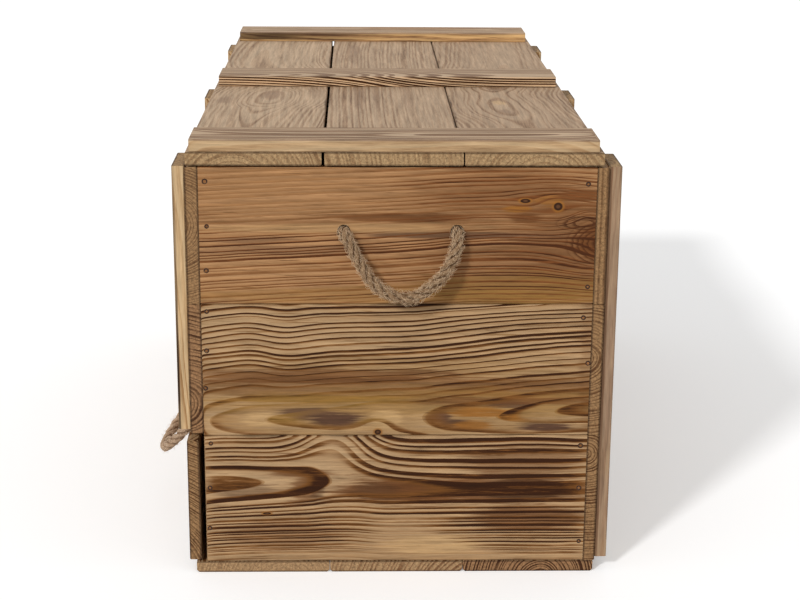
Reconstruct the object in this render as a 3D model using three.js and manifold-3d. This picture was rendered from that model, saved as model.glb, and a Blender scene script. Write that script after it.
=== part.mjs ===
// Kindling box: a nailed chest of flamed pine boards with a hinged lid, a hinged
// flap along the foot of its front, and rope handles.
//
// Units are millimetres and +Z is up. The origin is the middle of the underside.
// +X points to the near end, -Y to the front with the flap, +Y to the hinged back.

import * as THREE from "three";
import { mergeVertices } from "three/addons/utils/BufferGeometryUtils.js";
import Module from "manifold-3d";

const wasm = await Module();
wasm.setup();

// ---------------------------------------------------------------- driving dimensions

const LENGTH = 860; // over the two ends
const WIDTH = 420; // over the front and back walls
const BOARD = 140; // width of a full board
const JOINT = 0.5; // gap between two wall boards
const FLOOR_THICK = 12;
const FRONT_THICK = 13;
const BACK_THICK = 12;
const END_THICK = 13;
const LID_THICK = 13.5;
const FIT = 0.3; // clearance between pieces that are nailed or turn together
const EASED = 1; // chamfer along the edges of a planed board
const FLOOR_BEVEL = 2.5; // larger chamfer under the floor boards

const STRIP_WIDTH = 66; // half a board, used for strips and lid battens
const STRIP_THICK = 12.5;
const STRIP_INSET = 1; // strip behind the end of the box
const STRIP_RISE = 1; // strip above the top of the wall
const FRONT_STRIP_FOOT = 159.5; // the front strips stop above the flap
const BACK_STRIP_FOOT = 16;

const CORNER_WIDTH = 45; // battens in the inside corners
const CORNER_THICK = 13;

const LID_GAP = 1.6; // room for the hinge leaves under the lid
const LID_FRONT_Y = -209;
const LID_BOARDS = [134, 137, 138]; // front to back
const LID_JOINTS = [3, 1.5]; // open joints between them
const LID_BATTEN_FRONT_Y = -205;
const LID_BATTEN_BACK_Y = 199;

const FLOOR_BOARDS = [139, 139, 137]; // front to back
const FLOOR_FRONT_Y = -207.7;
const FLOOR_JOINT = 0.6;

const FLAP_OUTER_Y = -214.7; // the flap stands proud of the wall above it
const FLAP_THICK = 12;
const FLAP_LENGTH = 859;
const FLAP_FOOT = 14.3;
const FLAP_TOP = 146.8;
const FRONT_OPENING_TOP = 155.5; // underside of the wall board over the flap

const ROPE = 11.5; // diameter of the laid rope
const ROPE_HOLE = 13;
const ROPE_SPAN = 113; // between the two holes of one handle
const ROPE_STANDOFF = 6.1; // where the rope starts to bend, outside the board
// The hang of a stiff rope, from hole to hole: along the line of the holes, and below it.
const ROPE_HANG = [
  [56.5, 0],
  [54, 8.5],
  [45.5, 21.5],
  [36.5, 37.5],
  [26.5, 51],
  [12, 61],
  [-5, 65.2],
  [-19, 62],
  [-34.5, 51],
  [-46, 37],
  [-53, 23],
  [-57.2, 10],
  [-56.5, 0],
];
const HANDLE_HEIGHT = 369;
const HANDLE_SHIFT_Y = 3.4; // the end handles sit a little to the back
const HANDLE_TILT = 73.5; // degrees that a hanging handle points below level
const PULL_HEIGHT = 115;
const PULL_X = 215; // a quarter of the length from each end
const PULL_TILT = 52;
const KNOT_RADIUS = 13;
const KNOT_LENGTH = 26;
const KNOT_TAIL = 15;

const LID_HINGE_X = 200;
const FLAP_HINGE_X = 300;

// ---------------------------------------------------------------- derived levels

const half = LENGTH / 2;
const wallFoot = FLOOR_THICK + FIT;
const rowHeight = BOARD + JOINT;
const wallTop = wallFoot + 2 * rowHeight + BOARD;
const frontInnerY = -WIDTH / 2 + FRONT_THICK;
const backInnerY = WIDTH / 2 - BACK_THICK;
const lidUnderside = wallTop + LID_GAP;
const lidTop = lidUnderside + LID_THICK;
const flapInnerY = FLAP_OUTER_Y + FLAP_THICK;

// ---------------------------------------------------------------- materials

const finish = (color, roughness, metalness = 0) => ({ color, roughness, metalness });
const WALL_WOOD = finish(0xa9814f, 0.75);
const LID_WOOD = finish(0xa08a6c, 0.8);
const BATTEN_WOOD = finish(0xb8925c, 0.75);
const FLOOR_WOOD = finish(0xa38557, 0.8);
const INSIDE_WOOD = finish(0xc8a878, 0.8);
const STEEL = finish(0x8d9094, 0.35, 1);
const JUTE = finish(0xa58a63, 0.95);

// A piece is a mesh of its own, with its own material.
function piece(name, geometry, look) {
  const mesh = new THREE.Mesh(geometry, new THREE.MeshStandardMaterial(look));
  mesh.name = name;
  return mesh;
}

// ---------------------------------------------------------------- joining and cutting

// A geometry with only its positions, its shared corners merged, as a solid.
function solid(geometry) {
  const bare = geometry.clone();
  bare.deleteAttribute("normal");
  bare.deleteAttribute("uv");
  const merged = mergeVertices(bare, 1e-4);
  const mesh = new wasm.Mesh({
    numProp: 3,
    vertProperties: new Float32Array(merged.attributes.position.array),
    triVerts: new Uint32Array(merged.index.array),
  });
  return new wasm.Manifold(mesh);
}

function geometryOf(body) {
  const mesh = body.getMesh();
  const geometry = new THREE.BufferGeometry();
  geometry.setAttribute("position", new THREE.BufferAttribute(mesh.vertProperties, 3));
  geometry.setIndex(new THREE.BufferAttribute(mesh.triVerts, 1));
  geometry.computeVertexNormals();
  return geometry;
}

// A box between two corners.
function block([x0, y0, z0], [x1, y1, z1]) {
  const geometry = new THREE.BoxGeometry(x1 - x0, y1 - y0, z1 - z0);
  geometry.translate((x0 + x1) / 2, (y0 + y1) / 2, (z0 + z1) / 2);
  return geometry;
}

// A round bar along "x", "y" or "z", centred on a point.
function bar(radius, length, axis, [x, y, z], sides = 16) {
  const geometry = new THREE.CylinderGeometry(radius, radius, length, sides);
  if (axis === "x") geometry.rotateZ(Math.PI / 2);
  if (axis === "z") geometry.rotateX(Math.PI / 2);
  geometry.translate(x, y, z);
  return geometry;
}

// ---------------------------------------------------------------- boards

// A sawn and planed board between two corners, its long edges chamfered. The chamfer
// is one number, or two when the low and the high side differ.
function board(low, high, along, chamfer = EASED) {
  const [x0, y0, z0] = low;
  const [x1, y1, z1] = high;
  const spans = {
    x: [y0, y1, z0, z1, x0, x1],
    y: [x0, x1, z0, z1, y0, y1],
    z: [x0, x1, y0, y1, z0, z1],
  };
  const [a0, a1, b0, b1, from, to] = spans[along];
  const [lowCut, highCut] = Array.isArray(chamfer) ? chamfer : [chamfer, chamfer];
  const outline = new THREE.Shape();
  outline.moveTo(a0 + lowCut, b0);
  outline.lineTo(a1 - lowCut, b0);
  outline.lineTo(a1, b0 + lowCut);
  outline.lineTo(a1, b1 - highCut);
  outline.lineTo(a1 - highCut, b1);
  outline.lineTo(a0 + highCut, b1);
  outline.lineTo(a0, b1 - highCut);
  outline.lineTo(a0, b0 + lowCut);
  const geometry = new THREE.ExtrudeGeometry(outline, { depth: to - from, bevelEnabled: false });
  geometry.translate(0, 0, from);
  // Turn the outline's own axes to the box's axes.
  const axisX = new THREE.Vector3(1, 0, 0);
  const axisY = new THREE.Vector3(0, 1, 0);
  const axisZ = new THREE.Vector3(0, 0, 1);
  const turns = { x: [axisY, axisZ, axisX], y: [axisX, axisZ, axisY], z: [axisX, axisY, axisZ] };
  const turn = new THREE.Matrix4().makeBasis(...turns[along]);
  geometry.applyMatrix4(turn);
  if (turn.determinant() < 0) flipFaces(geometry);
  return geometry;
}

// A mirrored geometry has its faces turned inside out, so each triangle is reversed.
function flipFaces(geometry) {
  for (const attribute of Object.values(geometry.attributes)) {
    const size = attribute.itemSize;
    const values = attribute.array;
    for (let corner = 0; corner < attribute.count; corner += 3) {
      for (let k = 0; k < size; k++) {
        const second = (corner + 1) * size + k;
        const third = (corner + 2) * size + k;
        [values[second], values[third]] = [values[third], values[second]];
      }
    }
  }
}

// The same board with round holes bored through it.
function bored(geometry, bars) {
  return geometryOf(bars.reduce((body, hole) => body.subtract(solid(hole)), solid(geometry)));
}

const rowFoot = (row) => wallFoot + row * rowHeight;
const rowNames = ["bottom", "middle", "top"];

// ---------------------------------------------------------------- floor

function floor() {
  const group = new THREE.Group();
  let y = FLOOR_FRONT_Y;
  ["front", "middle", "back"].forEach((place, index) => {
    const width = FLOOR_BOARDS[index];
    const shape = board([-half, y, 0], [half, y + width, FLOOR_THICK], "x", [FLOOR_BEVEL, EASED]);
    group.add(piece(`floor_board_${place}`, shape, FLOOR_WOOD));
    y += width + FLOOR_JOINT;
  });
  return group;
}

// ---------------------------------------------------------------- walls

// The end boards stand between the front and back walls, flush with their ends.
function endWall(name, side) {
  const group = new THREE.Group();
  const outer = side * half;
  const inner = side * (half - END_THICK);
  const low = Math.min(outer, inner);
  const high = Math.max(outer, inner);
  rowNames.forEach((row, index) => {
    const foot = rowFoot(index);
    let shape = board([low, frontInnerY + FIT, foot], [high, backInnerY - FIT, foot + BOARD], "y");
    if (row === "top") {
      const holes = [-1, 1].map((hand) => {
        const y = HANDLE_SHIFT_Y + (hand * ROPE_SPAN) / 2;
        return bar(ROPE_HOLE / 2, 3 * END_THICK, "x", [(low + high) / 2, y, HANDLE_HEIGHT], 24);
      });
      shape = bored(shape, holes);
    }
    group.add(piece(`${name}_end_board_${row}`, shape, WALL_WOOD));
  });
  return group;
}

function frontWall() {
  const group = new THREE.Group();
  const levels = { middle: [FRONT_OPENING_TOP, rowFoot(1) + BOARD], top: [rowFoot(2), wallTop] };
  for (const [row, [foot, top]] of Object.entries(levels)) {
    const shape = board([-half, -WIDTH / 2, foot], [half, frontInnerY, top], "x");
    group.add(piece(`front_board_${row}`, shape, WALL_WOOD));
  }
  return group;
}

function backWall() {
  const group = new THREE.Group();
  rowNames.forEach((row, index) => {
    const foot = rowFoot(index);
    const shape = board([-half, backInnerY, foot], [half, WIDTH / 2, foot + BOARD], "x");
    group.add(piece(`back_board_${row}`, shape, WALL_WOOD));
  });
  return group;
}

// Upright battens in the four inside corners hold the ends and the long walls together.
function cornerBattens() {
  const group = new THREE.Group();
  const reach = half - END_THICK - FIT;
  const walls = { front: frontInnerY + FIT, back: backInnerY - FIT - CORNER_THICK };
  for (const [end, side] of [["near", 1], ["far", -1]]) {
    for (const [wall, y] of Object.entries(walls)) {
      const xs = [side * reach, side * (reach - CORNER_WIDTH)].sort((a, b) => a - b);
      const low = [xs[0], y, wallFoot];
      const high = [xs[1], y + CORNER_THICK, wallTop];
      group.add(piece(`corner_batten_${end}_${wall}`, board(low, high, "z"), INSIDE_WOOD));
    }
  }
  return group;
}

// Where the three strips of a wall and the three battens of the lid lie along the box.
const strips = (inset) => ({
  near: half - inset - STRIP_WIDTH,
  middle: -STRIP_WIDTH / 2,
  far: -half + inset,
});

function outsideStrips() {
  const group = new THREE.Group();
  const walls = {
    front: [-WIDTH / 2 - STRIP_THICK, FRONT_STRIP_FOOT],
    back: [WIDTH / 2, BACK_STRIP_FOOT],
  };
  for (const [wall, [y, foot]] of Object.entries(walls)) {
    for (const [place, x] of Object.entries(strips(STRIP_INSET))) {
      const high = [x + STRIP_WIDTH, y + STRIP_THICK, wallTop + STRIP_RISE];
      group.add(piece(`${wall}_strip_${place}`, board([x, y, foot], high, "z"), BATTEN_WOOD));
    }
  }
  return group;
}

// ---------------------------------------------------------------- lid

function lid() {
  const group = new THREE.Group();
  let y = LID_FRONT_Y;
  ["front", "middle", "back"].forEach((place, index) => {
    const width = LID_BOARDS[index];
    const shape = board([-half, y, lidUnderside], [half, y + width, lidTop], "x");
    group.add(piece(`lid_board_${place}`, shape, LID_WOOD));
    y += width + (LID_JOINTS[index] ?? 0);
  });
  for (const [place, x] of Object.entries(strips(0))) {
    const low = [x, LID_BATTEN_FRONT_Y, lidTop];
    const high = [x + STRIP_WIDTH, LID_BATTEN_BACK_Y, lidTop + STRIP_THICK];
    group.add(piece(`lid_batten_${place}`, board(low, high, "y"), BATTEN_WOOD));
  }
  return group;
}

// ---------------------------------------------------------------- flap

function flap() {
  const low = [-FLAP_LENGTH / 2, FLAP_OUTER_Y, FLAP_FOOT];
  const high = [FLAP_LENGTH / 2, flapInnerY, FLAP_TOP];
  const holes = [];
  for (const side of [-1, 1]) {
    for (const hand of [-1, 1]) {
      const centre = [side * PULL_X + (hand * ROPE_SPAN) / 2, FLAP_OUTER_Y + FLAP_THICK / 2, PULL_HEIGHT];
      holes.push(bar(ROPE_HOLE / 2, 3 * FLAP_THICK, "y", centre, 24));
    }
  }
  return piece("flap_board", bored(board(low, high, "x"), holes), WALL_WOOD);
}

// ---------------------------------------------------------------- butt hinges

// One leaf of a butt hinge whose pin runs along X through the origin. The leaf lies
// along +Y at a height, its far edge at "reach", with knuckles where "owns" says.
function hingeLeaf({ length, radius, bore, thick, height, cutBack, reach, screwY, screwRadius, owns }) {
  const low = height - thick / 2;
  const high = height + thick / 2;
  const third = length / 3;
  let body = solid(block([-length / 2, cutBack, low], [length / 2, reach, high]));
  for (const part of owns) {
    const from = -length / 2 + part * third + (part > 0 ? FIT / 2 : 0);
    const to = -length / 2 + (part + 1) * third - (part < 2 ? FIT / 2 : 0);
    const middle = [(from + to) / 2, 0, 0];
    body = body.add(solid(block([from, 0, low], [to, cutBack + thick, high])));
    body = body.add(solid(bar(radius, to - from, "x", middle)));
    body = body.subtract(solid(bar(bore, third + 2, "x", middle)));
  }
  for (const x of [-1, 0, 1]) {
    const screw = bar(screwRadius, 4 * thick, "z", [(x * length) / 3, screwY, height], 12);
    body = body.subtract(solid(screw));
  }
  return geometryOf(body);
}

// A whole hinge: two leaves turned about the pin from +Y by their own angles.
function hinge(name, position, size, leaves) {
  const group = new THREE.Group();
  group.position.set(...position);
  for (const leaf of leaves) {
    const mesh = piece(`${name}_${leaf.name}`, hingeLeaf({ ...size, ...leaf }), STEEL);
    mesh.rotation.x = THREE.MathUtils.degToRad(leaf.turn);
    group.add(mesh);
  }
  const pin = bar(size.bore - FIT, size.length + 1, "x", [0, 0, 0], 12);
  group.add(piece(`${name}_pin`, pin, STEEL));
  return group;
}

const LID_HINGE = { length: 60, radius: 1.6, bore: 1.05, thick: 0.6, cutBack: 2.1, screwRadius: 1.5 };
const lidHingeY = WIDTH / 2 + 0.2 + LID_HINGE.radius;
const lidHingeZ = wallTop + LID_GAP / 2;
const lidLeafOffset = 0.4;

// The lid's hinges lie flat in the gap on top of the back wall, their pins just behind it.
function lidHinges() {
  const group = new THREE.Group();
  for (const [place, side] of [["near", 1], ["far", -1]]) {
    const leaves = [
      { name: "wall_leaf", turn: 180, height: lidLeafOffset, reach: 12.8, owns: [0, 2], screwY: 7.6 },
      { name: "lid_leaf", turn: 180, height: -lidLeafOffset, reach: 27, owns: [1], screwY: 20.5 },
    ];
    const position = [side * LID_HINGE_X, lidHingeY, lidHingeZ];
    group.add(hinge(`lid_hinge_${place}`, position, LID_HINGE, leaves));
  }
  return group;
}

const FLAP_HINGE = { length: 50, radius: 1.9, bore: 1.2, thick: 0.9, cutBack: 2.4, screwRadius: 1.6 };
const flapHingeY = FLAP_OUTER_Y - 2.3;
const flapHingeZ = (FLOOR_THICK + FLAP_FOOT) / 2;
const flapLeafOffset = 0.6;

// The flap's hinges lie flat between the floor and the flap's lower edge.
function flapHinges() {
  const group = new THREE.Group();
  for (const [place, side] of [["near", 1], ["far", -1]]) {
    const leaves = [
      { name: "floor_leaf", turn: 0, height: -flapLeafOffset, reach: 27, owns: [0, 2], screwY: 20 },
      { name: "flap_leaf", turn: 0, height: flapLeafOffset, reach: 13.8, owns: [1], screwY: 8.3 },
    ];
    const position = [side * FLAP_HINGE_X, flapHingeY, flapHingeZ];
    group.add(hinge(`flap_hinge_${place}`, position, FLAP_HINGE, leaves));
  }
  return group;
}

// ---------------------------------------------------------------- rope handles

// A rope loop in its own plane: the holes on the X axis, the loop towards -Y. Its two
// ends are rounded where the rope bends out of the holes.
function ropeLoop() {
  const hang = ROPE_HANG.map(([along, below]) => new THREE.Vector3(along, -below, 0));
  const section = new THREE.Shape();
  section.absarc(0, 0, ROPE / 2, 0, 2 * Math.PI);
  const tube = new THREE.ExtrudeGeometry(section, {
    curveSegments: 6,
    steps: 30,
    extrudePath: new THREE.CatmullRomCurve3(hang),
  });
  let body = solid(tube);
  for (const hand of [-1, 1]) {
    const ball = new THREE.SphereGeometry(ROPE / 2 - 0.05, 12, 8);
    ball.translate((hand * ROPE_SPAN) / 2, 0, 0);
    body = body.add(solid(ball));
  }
  return geometryOf(body);
}

// The rope in the hole, the knot behind the board and the short free tail, along -Y
// from the outer face of the board at the origin.
function ropeKnot(boardThick) {
  const radius = ROPE / 2;
  const start = boardThick + FIT;
  const profile = new THREE.Path();
  profile.moveTo(0, 0.1);
  profile.lineTo(radius, 0.1);
  profile.lineTo(radius, -start);
  const middle = -start - KNOT_LENGTH / 2;
  const bulge = KNOT_RADIUS - radius;
  profile.absellipse(radius, middle, bulge, KNOT_LENGTH / 2, Math.PI / 2, -Math.PI / 2, true);
  profile.lineTo(radius, -start - KNOT_LENGTH - KNOT_TAIL);
  profile.lineTo(0, -start - KNOT_LENGTH - KNOT_TAIL);
  const points = profile.getPoints(8).reverse();
  const apart = (point, index) => index === 0 || point.distanceTo(points[index - 1]) > 1e-3;
  return new THREE.LatheGeometry(points.filter(apart), 12);
}

// A handle on a face: its own X along the holes, its own Y out of the board.
function handle(name, ends, boardThick, tilt) {
  const group = new THREE.Group();
  const loop = piece(`${name}_rope`, ropeLoop(), JUTE);
  loop.position.y = ROPE_STANDOFF;
  loop.rotation.x = THREE.MathUtils.degToRad(180 - tilt);
  group.add(loop);
  ends.forEach((end, index) => {
    const knot = piece(`${name}_knot_${end}`, ropeKnot(boardThick), JUTE);
    knot.position.x = ((index === 0 ? -1 : 1) * ROPE_SPAN) / 2;
    group.add(knot);
  });
  return group;
}

// Handles high on both ends, and two pulls on the flap.
function ropeHandles() {
  const group = new THREE.Group();
  const nearHandle = handle("near_handle", ["back", "front"], END_THICK, HANDLE_TILT);
  nearHandle.position.set(half, HANDLE_SHIFT_Y, HANDLE_HEIGHT);
  nearHandle.rotation.z = -Math.PI / 2;
  const farHandle = handle("far_handle", ["front", "back"], END_THICK, HANDLE_TILT);
  farHandle.position.set(-half, HANDLE_SHIFT_Y, HANDLE_HEIGHT);
  farHandle.rotation.z = Math.PI / 2;
  group.add(nearHandle, farHandle);
  for (const [place, side] of [["near", 1], ["far", -1]]) {
    const pull = handle(`${place}_pull`, ["near", "far"], FLAP_THICK, PULL_TILT);
    pull.position.set(side * PULL_X, FLAP_OUTER_Y, PULL_HEIGHT);
    pull.rotation.z = Math.PI;
    group.add(pull);
  }
  return group;
}

// ---------------------------------------------------------------- the whole box

const kindlingBox = new THREE.Group();
kindlingBox.add(floor(), endWall("near", 1), endWall("far", -1), frontWall(), backWall());
kindlingBox.add(cornerBattens(), outsideStrips());
kindlingBox.add(lid(), lidHinges());
kindlingBox.add(flap(), flapHinges());
kindlingBox.add(ropeHandles());

export default kindlingBox;
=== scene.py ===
# %% [markdown]
# # A kindling box of flamed pine
#
# The box is a long chest of pine boards whose faces were scorched with a torch and brushed. The
# flame darkens the hard lines of the growth rings and leaves the soft wood between them light,
# so nearly all that the eye sees on this object is the pattern of the rings. The shapes of the
# boards come from the CAD frame. This script gives them their wood, and makes the ropes, knots,
# nails and screws.

# %% Load the frame
import bisect
import math
import random

import bmesh
import bpy
from mathutils import Matrix, Vector, noise
from mathutils.geometry import interpolate_bezier
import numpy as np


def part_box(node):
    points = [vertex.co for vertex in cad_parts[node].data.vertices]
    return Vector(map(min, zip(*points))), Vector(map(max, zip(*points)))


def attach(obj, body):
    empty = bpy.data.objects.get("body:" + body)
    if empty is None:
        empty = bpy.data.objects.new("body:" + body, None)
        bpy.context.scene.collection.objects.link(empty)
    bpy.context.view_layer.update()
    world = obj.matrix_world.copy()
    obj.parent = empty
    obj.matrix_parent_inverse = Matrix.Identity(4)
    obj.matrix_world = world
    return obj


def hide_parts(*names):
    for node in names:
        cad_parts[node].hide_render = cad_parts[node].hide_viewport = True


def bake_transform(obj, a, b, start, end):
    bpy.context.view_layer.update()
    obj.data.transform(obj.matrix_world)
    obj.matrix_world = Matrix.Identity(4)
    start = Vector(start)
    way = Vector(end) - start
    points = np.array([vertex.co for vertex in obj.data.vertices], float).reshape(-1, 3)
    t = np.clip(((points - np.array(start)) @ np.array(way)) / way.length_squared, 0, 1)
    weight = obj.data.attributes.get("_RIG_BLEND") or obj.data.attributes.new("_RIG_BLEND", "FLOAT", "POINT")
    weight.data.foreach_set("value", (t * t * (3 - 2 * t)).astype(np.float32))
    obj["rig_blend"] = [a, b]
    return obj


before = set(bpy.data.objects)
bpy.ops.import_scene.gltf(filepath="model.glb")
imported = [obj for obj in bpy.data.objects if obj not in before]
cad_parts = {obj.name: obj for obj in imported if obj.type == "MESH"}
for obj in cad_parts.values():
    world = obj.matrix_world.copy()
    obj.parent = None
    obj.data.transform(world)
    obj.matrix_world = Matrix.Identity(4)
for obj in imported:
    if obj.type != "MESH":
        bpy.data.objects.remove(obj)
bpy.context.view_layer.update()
MM = 0.001

# %% [markdown]
# ## The camera
#
# The photograph was taken through a long lens from a little above one narrow end. Its place was
# found from the corners of the boards, so the three turns below are small numbers and not
# rounded ones. The view direction is worked out from them and handed to the camera as one
# matrix, which is easier to check than three Euler angles.

# %% Place the camera
CAMERA_PLACE = Vector((2.11957, -0.04075, 0.78833))
CAMERA_YAW = math.radians(-1.4937)
CAMERA_PITCH = math.radians(16.190)
CAMERA_ROLL = math.radians(0.4319)
FOCAL_PIXELS = 1749.45
PICTURE_WIDTH = 800
SENSOR_WIDTH = 36.0

ahead = Vector((
    -math.cos(CAMERA_YAW) * math.cos(CAMERA_PITCH),
    -math.sin(CAMERA_YAW) * math.cos(CAMERA_PITCH),
    -math.sin(CAMERA_PITCH),
))
level_right = Vector((-math.sin(CAMERA_YAW), math.cos(CAMERA_YAW), 0))
level_up = level_right.cross(ahead)
right = level_right * math.cos(CAMERA_ROLL) + level_up * math.sin(CAMERA_ROLL)
up = level_up * math.cos(CAMERA_ROLL) - level_right * math.sin(CAMERA_ROLL)

lens = bpy.data.cameras.new("long lens")
lens.sensor_width = SENSOR_WIDTH
lens.lens = FOCAL_PIXELS / PICTURE_WIDTH * SENSOR_WIDTH
lens.clip_end = 100
camera = bpy.data.objects.new("camera", lens)
bpy.context.scene.collection.objects.link(camera)
turn = Matrix((right, up, -ahead)).transposed().to_4x4()
camera.matrix_world = Matrix.Translation(CAMERA_PLACE) @ turn
bpy.context.scene.camera = camera
print("lens", round(lens.lens, 2), "mm")

# %% [markdown]
# ## The ropes
#
# Each end has a carrying loop and the flap has two pulls, all of 11.5 mm jute rope. The rope
# comes through a hole in the board, turns down and hangs. New jute is stiff and keeps the bends
# of its coil, so a loop hangs as a crooked V and not as an even U. The route is worked out
# first, as points along one smooth line: straight in the hole, a bend, and then the hanging loop,
# whose points are given along the line of the holes and below it.

# %% Find the route of a loop
X, Y, Z = Vector((1, 0, 0)), Vector((0, 1, 0)), Vector((0, 0, 1))
ROPE = 11.5 * MM
ROPE_SPAN = 113 * MM
ROPE_STANDOFF = 6.1 * MM
BEND_PULL = 0.42
ROPE_HANG = [
    (45.5, 21.5), (36.5, 37.5), (26.5, 51), (12, 61), (-5, 65.2), (-19, 62), (-34.5, 51),
    (-46, 37), (-53, 23),
]
BOARD_THICK = 13 * MM
BEND_START = 3 * MM
STRETCH_POINTS = 5
BEND_POINTS = 8


def bezier(start, start_handle, end_handle, end, count):
    """Points along one Bezier stretch, both ends included."""
    return interpolate_bezier(start, start_handle, end_handle, end, count)


def curve_through(points):
    """A smooth line through all points: each stretch leans on the points beside it."""
    line = []
    for n in range(len(points) - 1):
        before, start, end = points[max(0, n - 1)], points[n], points[n + 1]
        after = points[min(len(points) - 1, n + 2)]
        start_handle = start + (end - before) / 6
        end_handle = end - (after - start) / 6
        line += bezier(start, start_handle, end_handle, end, STRETCH_POINTS)[:-1]
    return line + [points[-1]]


def bend_out_of_hole(hole, out, loop):
    """From inside the board to the first point of the loop, as one bend."""
    start = hole - out * BEND_START
    onward = (loop[1] - loop[0]).normalized()
    pull = (loop[0] - start).length * BEND_PULL
    bend = bezier(start, start + out * pull, loop[0] - onward * pull, loop[0], BEND_POINTS)
    inside = [hole - out * BOARD_THICK, hole - out * (BOARD_THICK + BEND_START) / 2]
    return inside + bend[:-1]


def loop_route(middle, out, side, tilt):
    """All points of a loop whose holes lie to both sides of middle, on the board's face."""
    down = out * math.cos(tilt) - Z * math.sin(tilt)
    line = middle + out * ROPE_STANDOFF
    loop = curve_through([line + side * (along * MM) + down * (below * MM)
                          for along, below in ROPE_HANG])
    first = bend_out_of_hole(middle + side * (ROPE_SPAN / 2), out, loop)
    last = bend_out_of_hole(middle - side * (ROPE_SPAN / 2), out, loop[::-1])
    return first + loop + last[::-1]


print("a loop hangs", max(below for _, below in ROPE_HANG), "mm along its board")

# %% Route the four loops
HANDLE_HEIGHT = 369 * MM
HANDLE_SHIFT = 3.4 * MM
HANDLE_TILT = math.radians(73.5)
PULL_HEIGHT = 115 * MM
PULL_PLACE = 215 * MM
PULL_TILT = math.radians(52)
END_FACE = 430 * MM
FLAP_FACE = -214.7 * MM
routes = {
    "near_handle": loop_route(Vector((END_FACE, HANDLE_SHIFT, HANDLE_HEIGHT)), X, -Y, HANDLE_TILT),
    "far_handle": loop_route(Vector((-END_FACE, HANDLE_SHIFT, HANDLE_HEIGHT)), -X, Y, HANDLE_TILT),
    "near_pull": loop_route(Vector((PULL_PLACE, FLAP_FACE, PULL_HEIGHT)), -Y, -X, PULL_TILT),
    "far_pull": loop_route(Vector((-PULL_PLACE, FLAP_FACE, PULL_HEIGHT)), -Y, -X, PULL_TILT),
}


def route_length(points):
    return sum((b - a).length for a, b in zip(points, points[1:]))


for name, points in routes.items():
    print(name, "rope length", round(route_length(points) / MM, 1), "mm")

# %% [markdown]
# ## Laying three strands
#
# A laid rope is three strands wound round each other. The straight rope is made first: a small
# circle beside the axis is spun round it and pushed along it at the same time, which is what
# bmesh's spin does when it is given a dvec. The straight rope then follows the route. Every
# point also keeps where it sits on its strand, as an attribute, so that the fibres of the
# material can follow the strands round every bend. Noise lets the strands swell and wander a
# little.

# %% Lay a straight rope
STRAND = 2.98 * MM
STRAND_OFFSET = ROPE / 2 - STRAND
STRAND_SIDES = 12
LAY_LENGTH = 38 * MM
STEPS_PER_LAY = 26
YARN_TURNS = 2.2
STRAND_SWELL = 0.1
SWELLS_PER_MM = 0.12
LAY_WOBBLE = 0.4
WOBBLES_PER_MM = 0.07
WOBBLE_ROW = 40.0
SWELL_ROW = 5.0
STREAK_SHIFT = 7.3
LAY_ATTRIBUTE = "strand_place"
RISE_ATTRIBUTE = "strand_rise"


def lay_strands(bm, length):
    """Three strands along +X, from 0 to length, with their places on the strand."""
    place = bm.verts.layers.float_vector.new(LAY_ATTRIBUTE)
    rise = bm.verts.layers.float.new(RISE_ATTRIBUTE)
    turns = length / LAY_LENGTH
    steps = max(8, int(turns * STEPS_PER_LAY))
    for number in range(3):
        start = math.tau * number / 3
        centre = Vector((0, math.cos(start), math.sin(start))) * STRAND_OFFSET
        facing = Matrix.Rotation(math.pi / 2, 4, "Y")
        ring = bmesh.ops.create_circle(
            bm, segments=STRAND_SIDES, radius=STRAND, cap_ends=False,
            matrix=Matrix.Translation(centre) @ facing)
        known = set(bm.verts) - set(ring["verts"])
        edges = list({e for v in ring["verts"] for e in v.link_edges})
        bmesh.ops.spin(
            bm, geom=ring["verts"] + edges, cent=(0, 0, 0), axis=(1, 0, 0),
            dvec=(length / steps, 0, 0), angle=math.tau * turns, steps=steps, use_merge=False)
        made = [v for v in bm.verts if v not in known]
        for v in made:
            along = v.co.x
            angle = start + math.tau * turns * along / length
            middle = Vector((0, math.cos(angle), math.sin(angle))) * STRAND_OFFSET
            around = v.co - Vector((along, 0, 0)) - middle
            twist = math.atan2(around.z, around.y) - angle * (1 + YARN_TURNS)
            v[place] = Vector((math.cos(twist), math.sin(twist),
                               along / MM + number * STREAK_SHIFT))
            v[rise] = math.hypot(v.co.y, v.co.z) / (ROPE / 2)
            swell_at = Vector((along / MM * SWELLS_PER_MM, number * SWELL_ROW, length))
            swell = 1 + STRAND_SWELL * noise.noise(swell_at)
            wobble_at = Vector((along / MM * WOBBLES_PER_MM, WOBBLE_ROW, length))
            wobble = LAY_WOBBLE * noise.noise(wobble_at)
            v.co = Matrix.Rotation(wobble, 3, "X") @ v.co
            v.co.y *= swell
            v.co.z *= swell
    bmesh.ops.holes_fill(bm, edges=[e for e in bm.edges if e.is_boundary], sides=0)
    bmesh.ops.recalc_face_normals(bm, faces=bm.faces)


print("strands", round(2 * STRAND / MM, 2), "mm thick, one turn in", LAY_LENGTH / MM, "mm")

# %% [markdown]
# Jute sheds loose fibres all over. Each one here is two thin three-sided pieces in a row, which
# start inside the rope, lean outwards and bend. They carry the same attributes as the strands.

# %% Grow the loose fibres
FUZZ_THICK = 0.2 * MM
FUZZ_BATCH = 20
FUZZ_LIMIT = 8.8 * MM
HAIR_PIECES = 2
HAIR_ROOT = (0.75, 0.95)
HAIR_LIFT = (0.2, 1.7)
HAIR_LEAN = 0.9
HAIR_DROOP = (-0.9, 0.3)
HAIR_REACH = (1.4, 4.2)
HAIR_SHORTER = 0.8
HAIR_THINNER = 0.7
HAIR_STREAK = 3.1
HAIR_RISE = 1.2


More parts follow.
